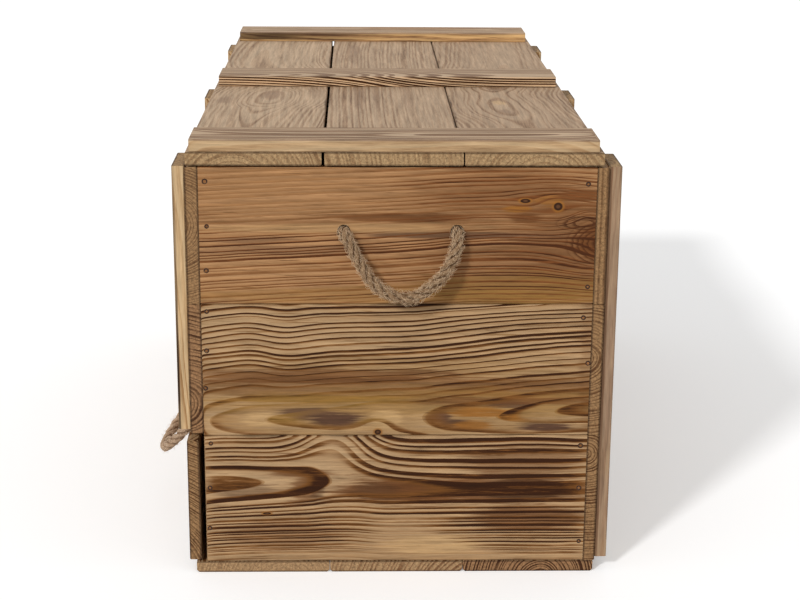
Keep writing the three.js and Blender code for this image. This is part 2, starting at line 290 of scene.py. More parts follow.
def grow_hair(hairs, length, draw):
    """One loose fibre that stands off the straight rope."""
    place = hairs.verts.layers.float_vector[LAY_ATTRIBUTE]
    rise = hairs.verts.layers.float[RISE_ATTRIBUTE]
    along = draw.uniform(0.02, 0.98) * length
    angle = draw.uniform(0, math.tau)
    out = Vector((0, math.cos(angle), math.sin(angle)))
    round_it = Vector((0, -math.sin(angle), math.cos(angle)))
    start = Vector((along, 0, 0)) + out * (ROPE / 2 * draw.uniform(*HAIR_ROOT))
    direction = X * draw.choice((1, -1)) + out * draw.uniform(*HAIR_LIFT)
    direction += round_it * draw.uniform(-HAIR_LEAN, HAIR_LEAN)
    bend = out * draw.uniform(*HAIR_DROOP) + round_it * draw.uniform(-HAIR_LEAN, HAIR_LEAN)
    reach = draw.uniform(*HAIR_REACH) * MM
    thick = FUZZ_THICK
    for _ in range(HAIR_PIECES):
        direction.normalize()
        end = start + direction * reach
        along_fibre = direction.to_track_quat("Z", "Y").to_matrix().to_4x4()
        made = bmesh.ops.create_cone(
            hairs, cap_ends=True, segments=3, radius1=thick, radius2=thick * HAIR_THINNER,
            depth=reach, matrix=Matrix.Translation((start + end) / 2) @ along_fibre)
        for v in made["verts"]:
            v[place] = Vector((1, 0, along / MM * HAIR_STREAK))
            v[rise] = HAIR_RISE
            off = Vector((0, v.co.y, v.co.z))
            if off.length > FUZZ_LIMIT:
                v.co -= off * (1 - FUZZ_LIMIT / off.length)
        start, direction = end, direction + bend
        reach, thick = reach * HAIR_SHORTER, thick * HAIR_THINNER


def add_fuzz(bm, length, count, draw):
    """All loose fibres. An operator on a small bmesh is quick, so they grow in small batches."""
    carrier = bpy.data.meshes.new("hairs")
    for _ in range(count // FUZZ_BATCH):
        hairs = bmesh.new()
        hairs.verts.layers.float_vector.new(LAY_ATTRIBUTE)
        hairs.verts.layers.float.new(RISE_ATTRIBUTE)
        for _ in range(FUZZ_BATCH):
            grow_hair(hairs, length, draw)
        hairs.to_mesh(carrier)
        hairs.free()
        bm.from_mesh(carrier)
    bpy.data.meshes.remove(carrier)


print("loose fibres start with", HAIR_REACH, "mm")

# %% Make a straight rope follow a route
def frames_along(points):
    """The distance, place and cross directions at every point of a route."""
    directions = []
    for n in range(len(points)):
        a, b = points[max(0, n - 1)], points[min(len(points) - 1, n + 1)]
        directions.append((b - a).normalized())
    side = directions[0].orthogonal().normalized()
    found, distance = [], 0.0
    for n, (point, direction) in enumerate(zip(points, directions)):
        if n:
            distance += (point - points[n - 1]).length
            side = directions[n - 1].rotation_difference(direction) @ side
            side = (side - direction * side.dot(direction)).normalized()
        found.append((distance, point, direction, side, direction.cross(side)))
    return found


def follow_route(bm, points):
    """Bends the straight rope in bm along the route."""
    stations = frames_along(points)
    distances = [station[0] for station in stations]
    for v in bm.verts:
        along = v.co.x
        n = min(max(1, bisect.bisect_left(distances, along)), len(stations) - 1)
        before, after = stations[n - 1], stations[n]
        share = (along - before[0]) / (after[0] - before[0])
        place = before[1].lerp(after[1], share)
        side = before[3].lerp(after[3], share).normalized()
        cross = before[4].lerp(after[4], share).normalized()
        v.co = place + side * v.co.y + cross * v.co.z


def smoother(points, rounds=2):
    """The same route with every corner cut, and both ends kept."""
    for _ in range(rounds):
        cut = [points[0]]
        for a, b in zip(points, points[1:]):
            cut += [a.lerp(b, 0.25), a.lerp(b, 0.75)]
        points = cut + [points[-1]]
    return points


def finished(name, bm, material, smooth=True):
    """A new object from a bmesh, at the origin, with its material."""
    mesh = bpy.data.meshes.new(name)
    bm.to_mesh(mesh)
    bm.free()
    for face in mesh.polygons:
        face.use_smooth = smooth
    mesh.materials.append(material)
    piece = bpy.data.objects.new(name, mesh)
    bpy.context.scene.collection.objects.link(piece)
    return piece


print("points on a finished route:", len(smoother(routes["near_handle"])))

# %% [markdown]
# ## Small helpers for node materials
#
# Every finish below is a net of nodes. These helpers add one node each and give back its output,
# so that a net reads like a sum. A value may be a plain number or the output of another node.

# %% Helpers for nodes
def feed(tree, socket, value):
    if isinstance(value, bpy.types.NodeSocket):
        tree.links.new(value, socket)
    elif value is not None:
        socket.default_value = value


def node(tree, kind, values=None, **settings):
    made = tree.nodes.new("ShaderNode" + kind)
    for name, value in settings.items():
        setattr(made, name, value)
    for name, value in (values or {}).items():
        feed(tree, made.inputs[name], value)
    return made


def calc(tree, operation, a, b=None, c=None, clamp=False):
    return node(tree, "Math", {0: a, 1: b, 2: c}, operation=operation, use_clamp=clamp).outputs[0]


def times(tree, a, b, clamp=False):
    return calc(tree, "MULTIPLY", a, b, clamp=clamp)


def scaled(tree, value, factor, start, clamp=False):
    """value times factor, on top of start."""
    return calc(tree, "MULTIPLY_ADD", value, factor, start, clamp)


# %% Helpers for soft changes, blends and noise
def ease(tree, value, low, high, to_low=0.0, to_high=1.0):
    """A smooth change from to_low to to_high while value goes from low to high."""
    made = node(tree, "MapRange", {"Value": value, "From Min": low, "From Max": high,
                                   "To Min": to_low, "To Max": to_high},
                interpolation_type="SMOOTHSTEP")
    return made.outputs["Result"]


def blend(tree, share, a, b, way="MIX"):
    made = node(tree, "Mix", None, data_type="RGBA", blend_type=way)
    feed(tree, made.inputs[0], share)
    feed(tree, made.inputs[6], a)
    feed(tree, made.inputs[7], b)
    return made.outputs[2]


def laid_over(tree, tone, colour, near, low, high, most=1.0):
    """The tone with a colour laid over it, up to most, while near goes from low to high."""
    return blend(tree, ease(tree, near, low, high, 0.0, most), tone, colour)


def clouds(tree, place, size, detail=2.0, roughness=0.5):
    """Noise from about -1 to 1, whose patches are one unit of place divided by size."""
    made = node(tree, "TexNoise", {"Vector": place, "Scale": size, "Detail": detail,
                                   "Roughness": roughness})
    return scaled(tree, made.outputs[0], 2.0, -1.0)


# How often each kind of unevenness changes along and across the grain, per millimetre.
GRAIN = {
    "wander": (0.0065, 0.022), "ripple": (0.03, 0.05), "drift": (0.006, 0.03),
    "streaks": (0.012, 0.3), "fibres": (0.014, 0.26), "coarse": (0.006, 0.1),
    "scorch": (0.012, 0.01), "end speckle": (0.4, 0.4), "end patches": (0.05, 0.05),
}


def stretched(tree, place, kind, seed=0.0):
    """A place in the board, shrunk along and across the grain, for noise drawn out along it."""
    u, v, w = place
    along, across = GRAIN[kind]
    return node(tree, "CombineXYZ", {
        "X": scaled(tree, u, along, seed),
        "Y": times(tree, v, across),
        "Z": times(tree, w, across)}).outputs[0]


def paint(red, green, blue):
    """A colour written as a screen shows it, from 0 to 255, made linear for a shader."""
    def linear(value):
        value /= 255
        return value / 12.92 if value <= 0.04045 else ((value + 0.055) / 1.055) ** 2.4
    return (linear(red), linear(green), linear(blue), 1.0)


def new_material(name):
    material = bpy.data.materials.new(name)
    material.use_nodes = True
    tree = material.node_tree
    return material, tree, tree.nodes["Principled BSDF"]


print("kinds of unevenness:", ", ".join(GRAIN))

# %% [markdown]
# ## Jute
#
# Jute is a dull, dry fibre of a greyish tan. The streaks read the place on the strand that every
# point kept, drawn out along the strand. The grooves between the strands are painted shade: the
# colour darkens towards the rope's axis, deeply on the handles. The pulls get a paler copy of the
# same jute with lighter grooves, painted light that lifts them where they hang in shade.

# %% Make the jute
# Light, middle and dark tones. The dark tone is also painted shade in the grooves, and the pull jute is a
# paler copy: painted light.
JUTE_WITH_GROOVE_SHADE = (paint(224, 196, 162), paint(170, 138, 104), paint(82, 53, 29))
JUTE_LIT_FOR_PULLS = (paint(236, 212, 186), paint(206, 178, 150), paint(136, 102, 74))
YARN_DRAWN = 0.055
FINE_YARN, COARSE_YARN = 5.5, 1.6
YARN_RISE = 0.6 * MM


def make_jute(name, colours):
    light, middle, dark = colours
    material, tree, shader = new_material(name)
    place = node(tree, "Attribute", attribute_name=LAY_ATTRIBUTE).outputs["Vector"]
    drawn = node(tree, "Mapping", {"Vector": place, "Scale": (1.0, 1.0, YARN_DRAWN)}).outputs[0]
    fine = clouds(tree, drawn, FINE_YARN, 3.0, 0.65)
    coarse = clouds(tree, drawn, COARSE_YARN, 2.0)
    tone = blend(tree, ease(tree, fine, -0.5, 0.3), dark, middle)
    tone = laid_over(tree, tone, light, fine, 0.0, 0.5)
    tone = laid_over(tree, tone, dark, coarse, -0.1, 0.6, 0.5)
    rise = node(tree, "Attribute", attribute_name=RISE_ATTRIBUTE).outputs["Fac"]
    # Painted shade: the colour darkens towards the rope's axis, in the grooves between the strands.
    tone = blend(tree, ease(tree, rise, 0.6, 0.9, 0.7, 0.0), tone, dark)
    tone = laid_over(tree, tone, light, rise, 1.1, HAIR_RISE, 0.95)
    feed(tree, shader.inputs["Base Color"], tone)
    shader.inputs["Roughness"].default_value = 0.92
    shader.inputs["Specular IOR Level"].default_value = 0.1
    bump = node(tree, "Bump", {"Height": fine, "Strength": 0.9, "Distance": YARN_RISE})
    feed(tree, shader.inputs["Normal"], bump.outputs[0])
    return material


jute = make_jute("jute", JUTE_WITH_GROOVE_SHADE)
jute_lit_for_pulls = make_jute("jute lit for pulls", JUTE_LIT_FOR_PULLS)


def laid_rope(name, points, fuzz, fibre, seed):
    """A whole rope along its route, with fuzz loose fibres to the metre."""
    length = route_length(points)
    bm = bmesh.new()
    lay_strands(bm, length)
    add_fuzz(bm, length, int(length * fuzz), random.Random(seed))
    follow_route(bm, points)
    rope = finished(name, bm, fibre)
    print(name, "faces", len(rope.data.polygons))
    return rope


# %% [markdown]
# ## Hanging the loops
#
# A loop turns with its handle, but the rope in the holes stays with the board, so each rope bends
# between the two bodies just outside the board's face. Each stands for the plain tube of the
# frame, which is hidden.

# %% Hang the four loops
BLEND_FROM = 0.5 * MM
BLEND_TO = 10 * MM
HANDLE_FUZZ = 7000
PULL_FUZZ = 1800
LOOPS = {
    "near_handle": ("carcass", Vector((END_FACE, 0, 0)), X, HANDLE_FUZZ, jute),
    "far_handle": ("carcass", Vector((-END_FACE, 0, 0)), -X, HANDLE_FUZZ, jute),
    "near_pull": ("flap", Vector((0, FLAP_FACE, 0)), -Y, PULL_FUZZ, jute_lit_for_pulls),
    "far_pull": ("flap", Vector((0, FLAP_FACE, 0)), -Y, PULL_FUZZ, jute_lit_for_pulls),
}
for seed, (body, (holder, face, out, fuzz, fibre)) in enumerate(LOOPS.items()):
    points = smoother(routes[body])
    length = route_length(points)
    rope = laid_rope(body + "_laid_rope", points, fuzz, fibre, seed)
    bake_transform(rope, holder, body, start=face + out * BLEND_FROM, end=face + out * BLEND_TO)
    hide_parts(body + "_rope")

# %% [markdown]
# ## Knotting the ends
#
# Behind the board every rope end is held by an overhand knot, pulled tight, with a short tail. A
# knot is one more route for the laid rope: in from the hole, once round itself, and out through
# its own turn. The points are given sideways, upwards and inwards from the back of the board.

# %% Tie the eight knots
KNOT_ROUTE = [
    (0, 0, -8), (0, 0, 1), (0.5, 0.5, 7), (-1, 3.5, 14), (3, 7.5, 20), (7.5, 3.5, 19),
    (8, -3.5, 12), (3.5, -8, 6.5), (-4, -7, 7), (-8, -1, 11), (-6, 5, 17), (-1, 4, 22),
    (1.5, -1, 25), (1, -2, 32), (0.5, -3.5, 41),
]
KNOT_FUZZ = 700
KNOT_SEED = 40
FLAP_BACK = -202.7 * MM
KNOT_HOLES = {}
for loop, middle, ends in (("near_handle", HANDLE_SHIFT, ("back", "front")),
                           ("far_handle", HANDLE_SHIFT, ("back", "front")),
                           ("near_pull", PULL_PLACE, ("near", "far")),
                           ("far_pull", -PULL_PLACE, ("near", "far"))):
    KNOT_HOLES[loop] = [(ends[0], middle + ROPE_SPAN / 2), (ends[1], middle - ROPE_SPAN / 2)]


def tie_knot(name, hole, inwards, sideways, seed):
    """A knotted rope end at the back of the board, at hole."""
    upwards = inwards.cross(sideways)
    route = [hole + sideways * (a * MM) + upwards * (b * MM) + inwards * (c * MM)
             for a, b, c in KNOT_ROUTE]
    return laid_rope(name, curve_through(route), KNOT_FUZZ, jute, seed)


knots = 0
for loop, holes in KNOT_HOLES.items():
    holder = LOOPS[loop][0]
    for place, along in holes:
        if holder == "carcass":
            side = 1 if loop == "near_handle" else -1
            hole = Vector((side * (END_FACE - BOARD_THICK), along, HANDLE_HEIGHT))
            inwards, sideways = -X * side, Y
        else:
            hole = Vector((along, FLAP_BACK, PULL_HEIGHT))
            inwards, sideways = Y, X
        if knots % 2:
            sideways = -sideways
        knot = tie_knot(f"{loop}_tied_{place}", hole, inwards, sideways, KNOT_SEED + knots)
        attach(knot, holder)
        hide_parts(f"{loop}_knot_{place}")
        knots += 1
print("knots tied:", knots)

# %% [markdown]
# ## How a board shows its rings
#
# A tree is a bundle of nearly round cones. A board is a slice of it, so the lines on its face are
# where the cones meet that slice: straight where it cuts them steeply, and long arches where it
# only grazes them. The rings are worked out in the body of the wood and not painted on each
# face, so that lines on the face, stripes on the edges and arcs on the ends belong together.
# For each point the net finds its distance from the heart of the tree, divides it by the width
# of one ring, and reads two things from the result: how far through its ring the point lies, and
# which ring it is. The dark late wood comes in slowly, stays for a while and ends sharply.

# %% Make the growth rings
WANDER_ACROSS, WANDER_DEPTH, RIPPLE_ACROSS = 7.0, 3.0, 1.8
YEARS_ALIKE = 0.42
YEARS_UNEVEN = 1.3
FRAYED_RING, FRAYED_START = 0.035, 0.16
LATEST_START = 0.34
LATE_WOOD_RISE = 0.42


def make_rings():
    """A node group. All places and sizes are in millimetres."""
    tree = bpy.data.node_groups.new("growth rings", "ShaderNodeTree")
    face = tree.interface
    for name, value in {"Along": 0, "Across": 0, "Through": 0, "Heart across": 0,
                        "Heart depth": 30, "Ring width": 4.5, "Seed": 0, "Waver": 1,
                        "Fibres": 0, "Begins": 0.14, "Ends": 0.93}.items():
        face.new_socket(name, in_out="INPUT", socket_type="NodeSocketFloat").default_value = value
    for name in ("Line", "Ring tone", "Phase"):
        face.new_socket(name, in_out="OUTPUT", socket_type="NodeSocketFloat")
    given = tree.nodes.new("NodeGroupInput").outputs
    result = tree.nodes.new("NodeGroupOutput").inputs
    spread = (given["Along"], given["Across"], given["Through"])

    slow = stretched(tree, spread, "wander", given["Seed"])
    wander = times(tree, clouds(tree, slow, 1.0, 1.0), given["Waver"])
    quick = stretched(tree, spread, "ripple", given["Seed"])
    ripple = times(tree, clouds(tree, quick, 1.0, 2.0), given["Waver"])

    across = calc(tree, "SUBTRACT", given["Across"], given["Heart across"])
    across = scaled(tree, wander, WANDER_ACROSS, across)
    across = scaled(tree, ripple, RIPPLE_ACROSS, across)
    depth = calc(tree, "ADD", given["Through"], given["Heart depth"])
    depth = scaled(tree, wander, WANDER_DEPTH, depth)
    square = times(tree, across, across)
    radius = calc(tree, "SQRT", scaled(tree, depth, depth, square))
    rings = calc(tree, "DIVIDE", radius, given["Ring width"])
    years = node(tree, "CombineXYZ", {"X": times(tree, rings, YEARS_ALIKE),
                                      "Y": given["Seed"]}).outputs[0]
    rings = scaled(tree, clouds(tree, years, 1.0, 1.0), YEARS_UNEVEN, rings)
    rings = scaled(tree, given["Fibres"], FRAYED_RING, rings)
    number = calc(tree, "FLOOR", rings)
    phase = calc(tree, "FRACT", rings)
    label = node(tree, "CombineXYZ", {"X": number, "Y": given["Seed"]}).outputs[0]
    chance = node(tree, "TexWhiteNoise", {"Vector": label}, noise_dimensions="3D")
    begins = scaled(tree, chance.outputs["Value"], LATEST_START, given["Begins"])
    begins = scaled(tree, given["Fibres"], FRAYED_START, begins)
    full = calc(tree, "ADD", begins, LATE_WOOD_RISE)
    rise = node(tree, "MapRange", {"Value": phase, "From Min": begins, "From Max": full},
                interpolation_type="SMOOTHSTEP").outputs[0]
    fall = ease(tree, phase, given["Ends"], 1.0, 1.0, 0.0)
    feed(tree, result["Line"], times(tree, rise, fall))
    feed(tree, result["Ring tone"], node(
        tree, "SeparateXYZ", {"Vector": chance.outputs["Color"]}).outputs[1])
    feed(tree, result["Phase"], phase)
    return tree


rings_group = make_rings()
print("rings group:", len(rings_group.nodes), "nodes")

# %% [markdown]
# ## Finding a place in a board
#
# Each material starts by turning Object coordinates into millimetres along the board's grain,
# across its face and through its thickness, measured from its middle. The board's middle comes
# from the frame, so a board keeps its own piece of tree wherever it stands. A feature is an oval
# on the board's face, and a curve is a value that changes along the board.

# %% Read a place in the board
AXES = {"X": 0, "Y": 1, "Z": 2}


def board_place(tree, centre, order):
    """Millimetres along, across and through the board, as three outputs."""
    place = node(tree, "TexCoord").outputs["Object"]
    turned = node(tree, "VectorMath", {0: place, 1: tuple(centre)}, operation="SUBTRACT")
    sized = node(tree, "VectorMath", {0: turned.outputs[0], "Scale": 1 / MM}, operation="SCALE")
    parts = node(tree, "SeparateXYZ", {"Vector": sized.outputs[0]}).outputs
    return [parts[AXES[letter]] for letter in order]


def make_oval():
    """A node group: 1 at the middle of an oval, falling away smoothly to 0 round it."""
    tree = bpy.data.node_groups.new("oval", "ShaderNodeTree")
    for name in ("Along", "Across", "Middle along", "Middle across", "Long", "High"):
        tree.interface.new_socket(name, in_out="INPUT", socket_type="NodeSocketFloat")
    tree.interface.new_socket("Near", in_out="OUTPUT", socket_type="NodeSocketFloat")
    given = tree.nodes.new("NodeGroupInput").outputs
    result = tree.nodes.new("NodeGroupOutput").inputs
    aside = calc(tree, "SUBTRACT", given["Along"], given["Middle along"])
    above = calc(tree, "SUBTRACT", given["Across"], given["Middle across"])
    aside = calc(tree, "DIVIDE", aside, given["Long"])
    above = calc(tree, "DIVIDE", above, given["High"])
    square = scaled(tree, above, above, times(tree, aside, aside))
    feed(tree, result["Near"], calc(tree, "EXPONENT", times(tree, square, -1.0)))
    return tree


oval_group = make_oval()


def spot(tree, along, across, feature):
    """How near a place is to an oval on the face."""
    group = tree.nodes.new("ShaderNodeGroup")
    group.node_tree = oval_group
    for socket, value in zip(group.inputs, (along, across) + tuple(feature)):
        feed(tree, socket, value)
    return group.outputs["Near"]


print("oval group:", len(oval_group.nodes), "nodes")


# %% Let values change along a board, and push the grain aside
def curve_along(tree, along, points, length):
    """A value that follows a few (place, value) pairs along the board, joined smoothly."""
    low = min(v for _, v in points)
    high = max(v for _, v in points)
    span = max(high - low, 1e-6)
    share = scaled(tree, along, 1 / length, 0.5, clamp=True)
    made = node(tree, "FloatCurve", {"Value": share})
    drawn = made.mapping.curves[0]
    places = [(u / length + 0.5, (v - low) / span) for u, v in points]
    for n, (u, v) in enumerate(places):
        if n < 2:
            drawn.points[n].location = (u, v)
        else:
            drawn.points.new(u, v)
    made.mapping.update()
    return scaled(tree, made.outputs[0], span, low)


def push_grain(tree, along, across, features):
    """Moves the grain aside at each feature: a shift, and a share by which it parts."""
    for u, v, long, high, shift, part in features:
        near = spot(tree, along, across, (u, v, long, high))
        moved = calc(tree, "SUBTRACT", across, v)
        moved = scaled(tree, moved, part, shift)
        across = calc(tree, "SUBTRACT", across, times(tree, moved, near))
    return across


# %% [markdown]
# ## The flamed finish
#
# The second half of a wood material turns rings into colour. Soft wood is pale tan and darkens a
# little towards each line. The line itself turns brown, and nearly black where the flame stayed
# long. How long it stayed is a base value, a slow drift over the board, and a few ovals with
# their own gain. Fine fibres run along the grain. Faces that cut the grain show no fibres but a
# fine speckle, and the arrises of a board are scorched in places.

# %% Colours of the finish
WOOD = {
    "flamed": dict(soft=paint(172, 141, 105), warm=paint(142, 106, 68), brown=paint(106, 66, 28),
                   line=paint(52, 25, 6)),
    "amber": dict(soft=paint(171, 129, 89), warm=paint(138, 96, 56), brown=paint(112, 66, 32),
                  line=paint(70, 36, 14)),
    # The grey wood: greyer and paler, painted light from the sky on the lid and on faces that look up.
    "sky_lit_grey": dict(soft=paint(186, 161, 134), warm=paint(176, 148, 120), brown=paint(150, 122, 96),
                 line=paint(130, 102, 78)),
    "pale": dict(soft=paint(193, 164, 125), warm=paint(182, 149, 108), brown=paint(150, 111, 70),
                 line=paint(112, 76, 42)),
    "striped": dict(soft=paint(214, 181, 144), warm=paint(176, 137, 97), brown=paint(104, 66, 32),
                    line=paint(56, 30, 8)),
    "golden": dict(soft=paint(212, 173, 120), warm=paint(196, 153, 98), brown=paint(150, 112, 76),
                   line=paint(112, 78, 54)),
    "raw": dict(soft=paint(204, 176, 135), warm=paint(196, 162, 117), brown=paint(176, 134, 88),
                line=paint(142, 100, 60)),
}
ENDS = {
    "lid": (paint(160, 131, 95), paint(122, 92, 62)),
    "floor": (paint(158, 127, 92), paint(104, 68, 42)),
    "wall": (paint(142, 109, 74), paint(86, 56, 32)),
    "dark": (paint(142, 106, 73), paint(64, 37, 19)),
    "raw": (paint(190, 160, 120), paint(150, 116, 80)),
}
TINTS = {
    "PURPLE": paint(86, 60, 44), "ORANGE": paint(142, 92, 38), "RED_BROWN": paint(102, 62, 31),
    "SMOKE": paint(138, 112, 91), "CHAR": paint(46, 30, 20), "STRAW": paint(196, 160, 112),
    "KNOT": paint(50, 29, 16), "KNOT_HEART": paint(92, 60, 36), "OLIVE": paint(134, 98, 44),
}
print("woods:", ", ".join(WOOD))

# %% Colour the faces along the grain
DRIFT_HEAT, DRIFT_WARMTH = 0.45, 0.25
FAINTEST_LINE = 0.5
DASHES = 0.35
STREAK_SHARE = 0.8
BROWN_FROM, BROWN_FULL = 0.06, 0.6
BLACK_FROM, BLACK_FULL = 0.45, 1.0


def flamed_share(tree, place, rings, fibres, drift, facts):
    """How dark the flame made the line, from 0 to 1."""
    along, across, _ = place
    heat = scaled(tree, drift, DRIFT_HEAT, facts["strength"])
    for gain, where in facts.get("heat", ()):
        heat = scaled(tree, spot(tree, along, across, where), gain, heat)
    darkness = scaled(tree, rings["Ring tone"], 1 - FAINTEST_LINE, FAINTEST_LINE)
    heat = calc(tree, "MAXIMUM", heat, 0.0)
    share = times(tree, times(tree, rings["Line"], darkness), heat)
    share = times(tree, share, scaled(tree, fibres, facts["broken"], 1.0))
    dashes = ease(tree, fibres, 0.12, 0.6, 0.0, DASHES)
    return scaled(tree, dashes, heat, share, clamp=True)


def add_knots(tree, tone, along, across, fibres, facts):
    """The curls round a branch, and the knots with their resin, rim and heart."""
    for u, v, long, tall, turns in facts.get("whorls", ()):
        middle = spot(tree, along, across, (u, v, long, tall))
        turn = scaled(tree, middle, turns, times(tree, fibres, 0.5))
        arc = ease(tree, calc(tree, "FRACT", turn), 0.35, 0.9)
        shown = times(tree, arc, ease(tree, middle, 0.16, 0.4, 0.0, 0.8))
        tone = blend(tree, shown, tone, WOOD[facts["wood"]]["line"])
    for where in facts.get("knots", ()):
        middle = spot(tree, along, across, where)
        tone = laid_over(tree, tone, TINTS["ORANGE"], middle, 0.08, 0.35, 0.75)
        tone = laid_over(tree, tone, TINTS["KNOT"], middle, 0.4, 0.58)
        tone = laid_over(tree, tone, TINTS["KNOT_HEART"], middle, 0.78, 0.95, 0.8)
    return tone


def wood_tone(tree, place, rings, fibres, facts):
    """The colour of the faces along the grain, and how dark the line is."""
    along, across, through = place
    colours = WOOD[facts["wood"]]
    drift = clouds(tree, stretched(tree, place, "drift", facts["seed"]), 1.0, 2.0)
    share = flamed_share(tree, place, rings, fibres, drift, facts)
    warmth = scaled(tree, drift, DRIFT_WARMTH, times(tree, rings["Phase"], 0.8), clamp=True)
    tone = blend(tree, warmth, colours["soft"], colours["warm"])
    brown = colours["brown"]
    for tint, where in facts.get("line_tints", ()):
        near = ease(tree, spot(tree, along, across, where), 0.1, 0.6)
        brown = blend(tree, near, brown, TINTS[tint])
    streaks = clouds(tree, stretched(tree, place, "streaks", facts["seed"]), 1.0, 4.0, 0.7)
    for tint, amount, where in facts.get("spots", ()):
        edge = scaled(tree, streaks, STREAK_SHARE, spot(tree, along, across, where))
        tone = laid_over(tree, tone, TINTS[tint], edge, 0.14, 0.6, amount)
    tone = laid_over(tree, tone, brown, share, BROWN_FROM, BROWN_FULL)
    tone = laid_over(tree, tone, colours["line"], share, BLACK_FROM, BLACK_FULL)
    return add_knots(tree, tone, along, across, fibres, facts), share


print("lines turn brown from", BROWN_FROM, "and black from", BLACK_FROM)

# %% Scorch the arrises
EDGE_RIM, FACE_RIM, BAND_RIM, END_RIM = (2.6, 0.4), (1.5, 0.7), (1.2, 0.6), (2.2, 0.6)
BAND_SOFTNESS = 0.6


def near_rim(tree, value, size, start, full):
    """0 in the middle of a size, and 1 from full millimetres before its rim outwards."""
    return ease(tree, calc(tree, "ABSOLUTE", value), size / 2 - start, size / 2 - full)


def scorch_arrises(tree, tone, place, sizes, facts):
    """Darkens the long edges here and there, and the bands that the facts name."""
    along, across, through = place
    patches = clouds(tree, stretched(tree, place, "scorch", facts["seed"] + 4), 1.0, 3.0, 0.6)
    edge = near_rim(tree, across, sizes[1], *EDGE_RIM)
    face = near_rim(tree, through, sizes[2], *FACE_RIM)
    burnt = times(tree, times(tree, edge, face),
                  ease(tree, patches, -0.15, 0.5, 0.0, facts["burn"]))
    tone = blend(tree, burnt, tone, TINTS["CHAR"])
    for tint, amount, (middle, reach), (low, high) in facts.get("bands", ()):
        near = spot(tree, along, 0.0, (middle, 0.0, reach, 1.0))
        above = ease(tree, through, low - BAND_SOFTNESS, low + BAND_SOFTNESS)
        below = ease(tree, through, high - BAND_SOFTNESS, high + BAND_SOFTNESS, 1.0, 0.0)
        side_only = near_rim(tree, across, sizes[1], *BAND_RIM)
        shown = times(tree, times(tree, near, times(tree, above, below)), side_only)
        shown = times(tree, shown, ease(tree, patches, -0.7, 0.0, 0.55, 1.0))
        tone = blend(tree, times(tree, shown, amount), tone, TINTS[tint])
    return tone


# %% Colour the sawn ends
def end_wood(tree, place, line, thickness, facts):
    """The colour of the sawn ends, and their speckle."""
    soft, dark = ENDS[facts["end"]]
    strength = facts["end_strength"]
    speckle = clouds(tree, stretched(tree, place, "end speckle"), 1.0, 4.0, 0.85)
    patches = clouds(tree, stretched(tree, place, "end patches", facts["seed"]), 1.0, 2.0)
    share = times(tree, line, ease(tree, patches, -0.5, 0.5, 0.35 * strength, strength),
                  clamp=True)
    rim = near_rim(tree, place[2], thickness, *END_RIM)
    rim = times(tree, rim, ease(tree, speckle, -0.35, 0.15, 0.0, 0.85))
    return blend(tree, rim, blend(tree, share, soft, dark), TINTS["CHAR"]), speckle


print("scorched rim of a face and of a sawn end:", EDGE_RIM, END_RIM, "mm")

# %% Put one board's wood together
FACING = (0.55, 0.85)
CURVE_MARGIN = 10
LOW_RINGS_UP_TO = 5.0
FIBRES_SHOWN, COARSE_SHOWN, SPECKLE_SHOWN = 0.75, 0.12, 1.6
WOOD_ROUGHNESS, LINE_POLISH, WOOD_SPECULAR = 0.74, -0.1, 0.12
LINE_RISE, FIBRE_RISE = 0.35 * MM, 0.25


def dress(piece, material):
    for holder in piece.material_slots:
        holder.material = material


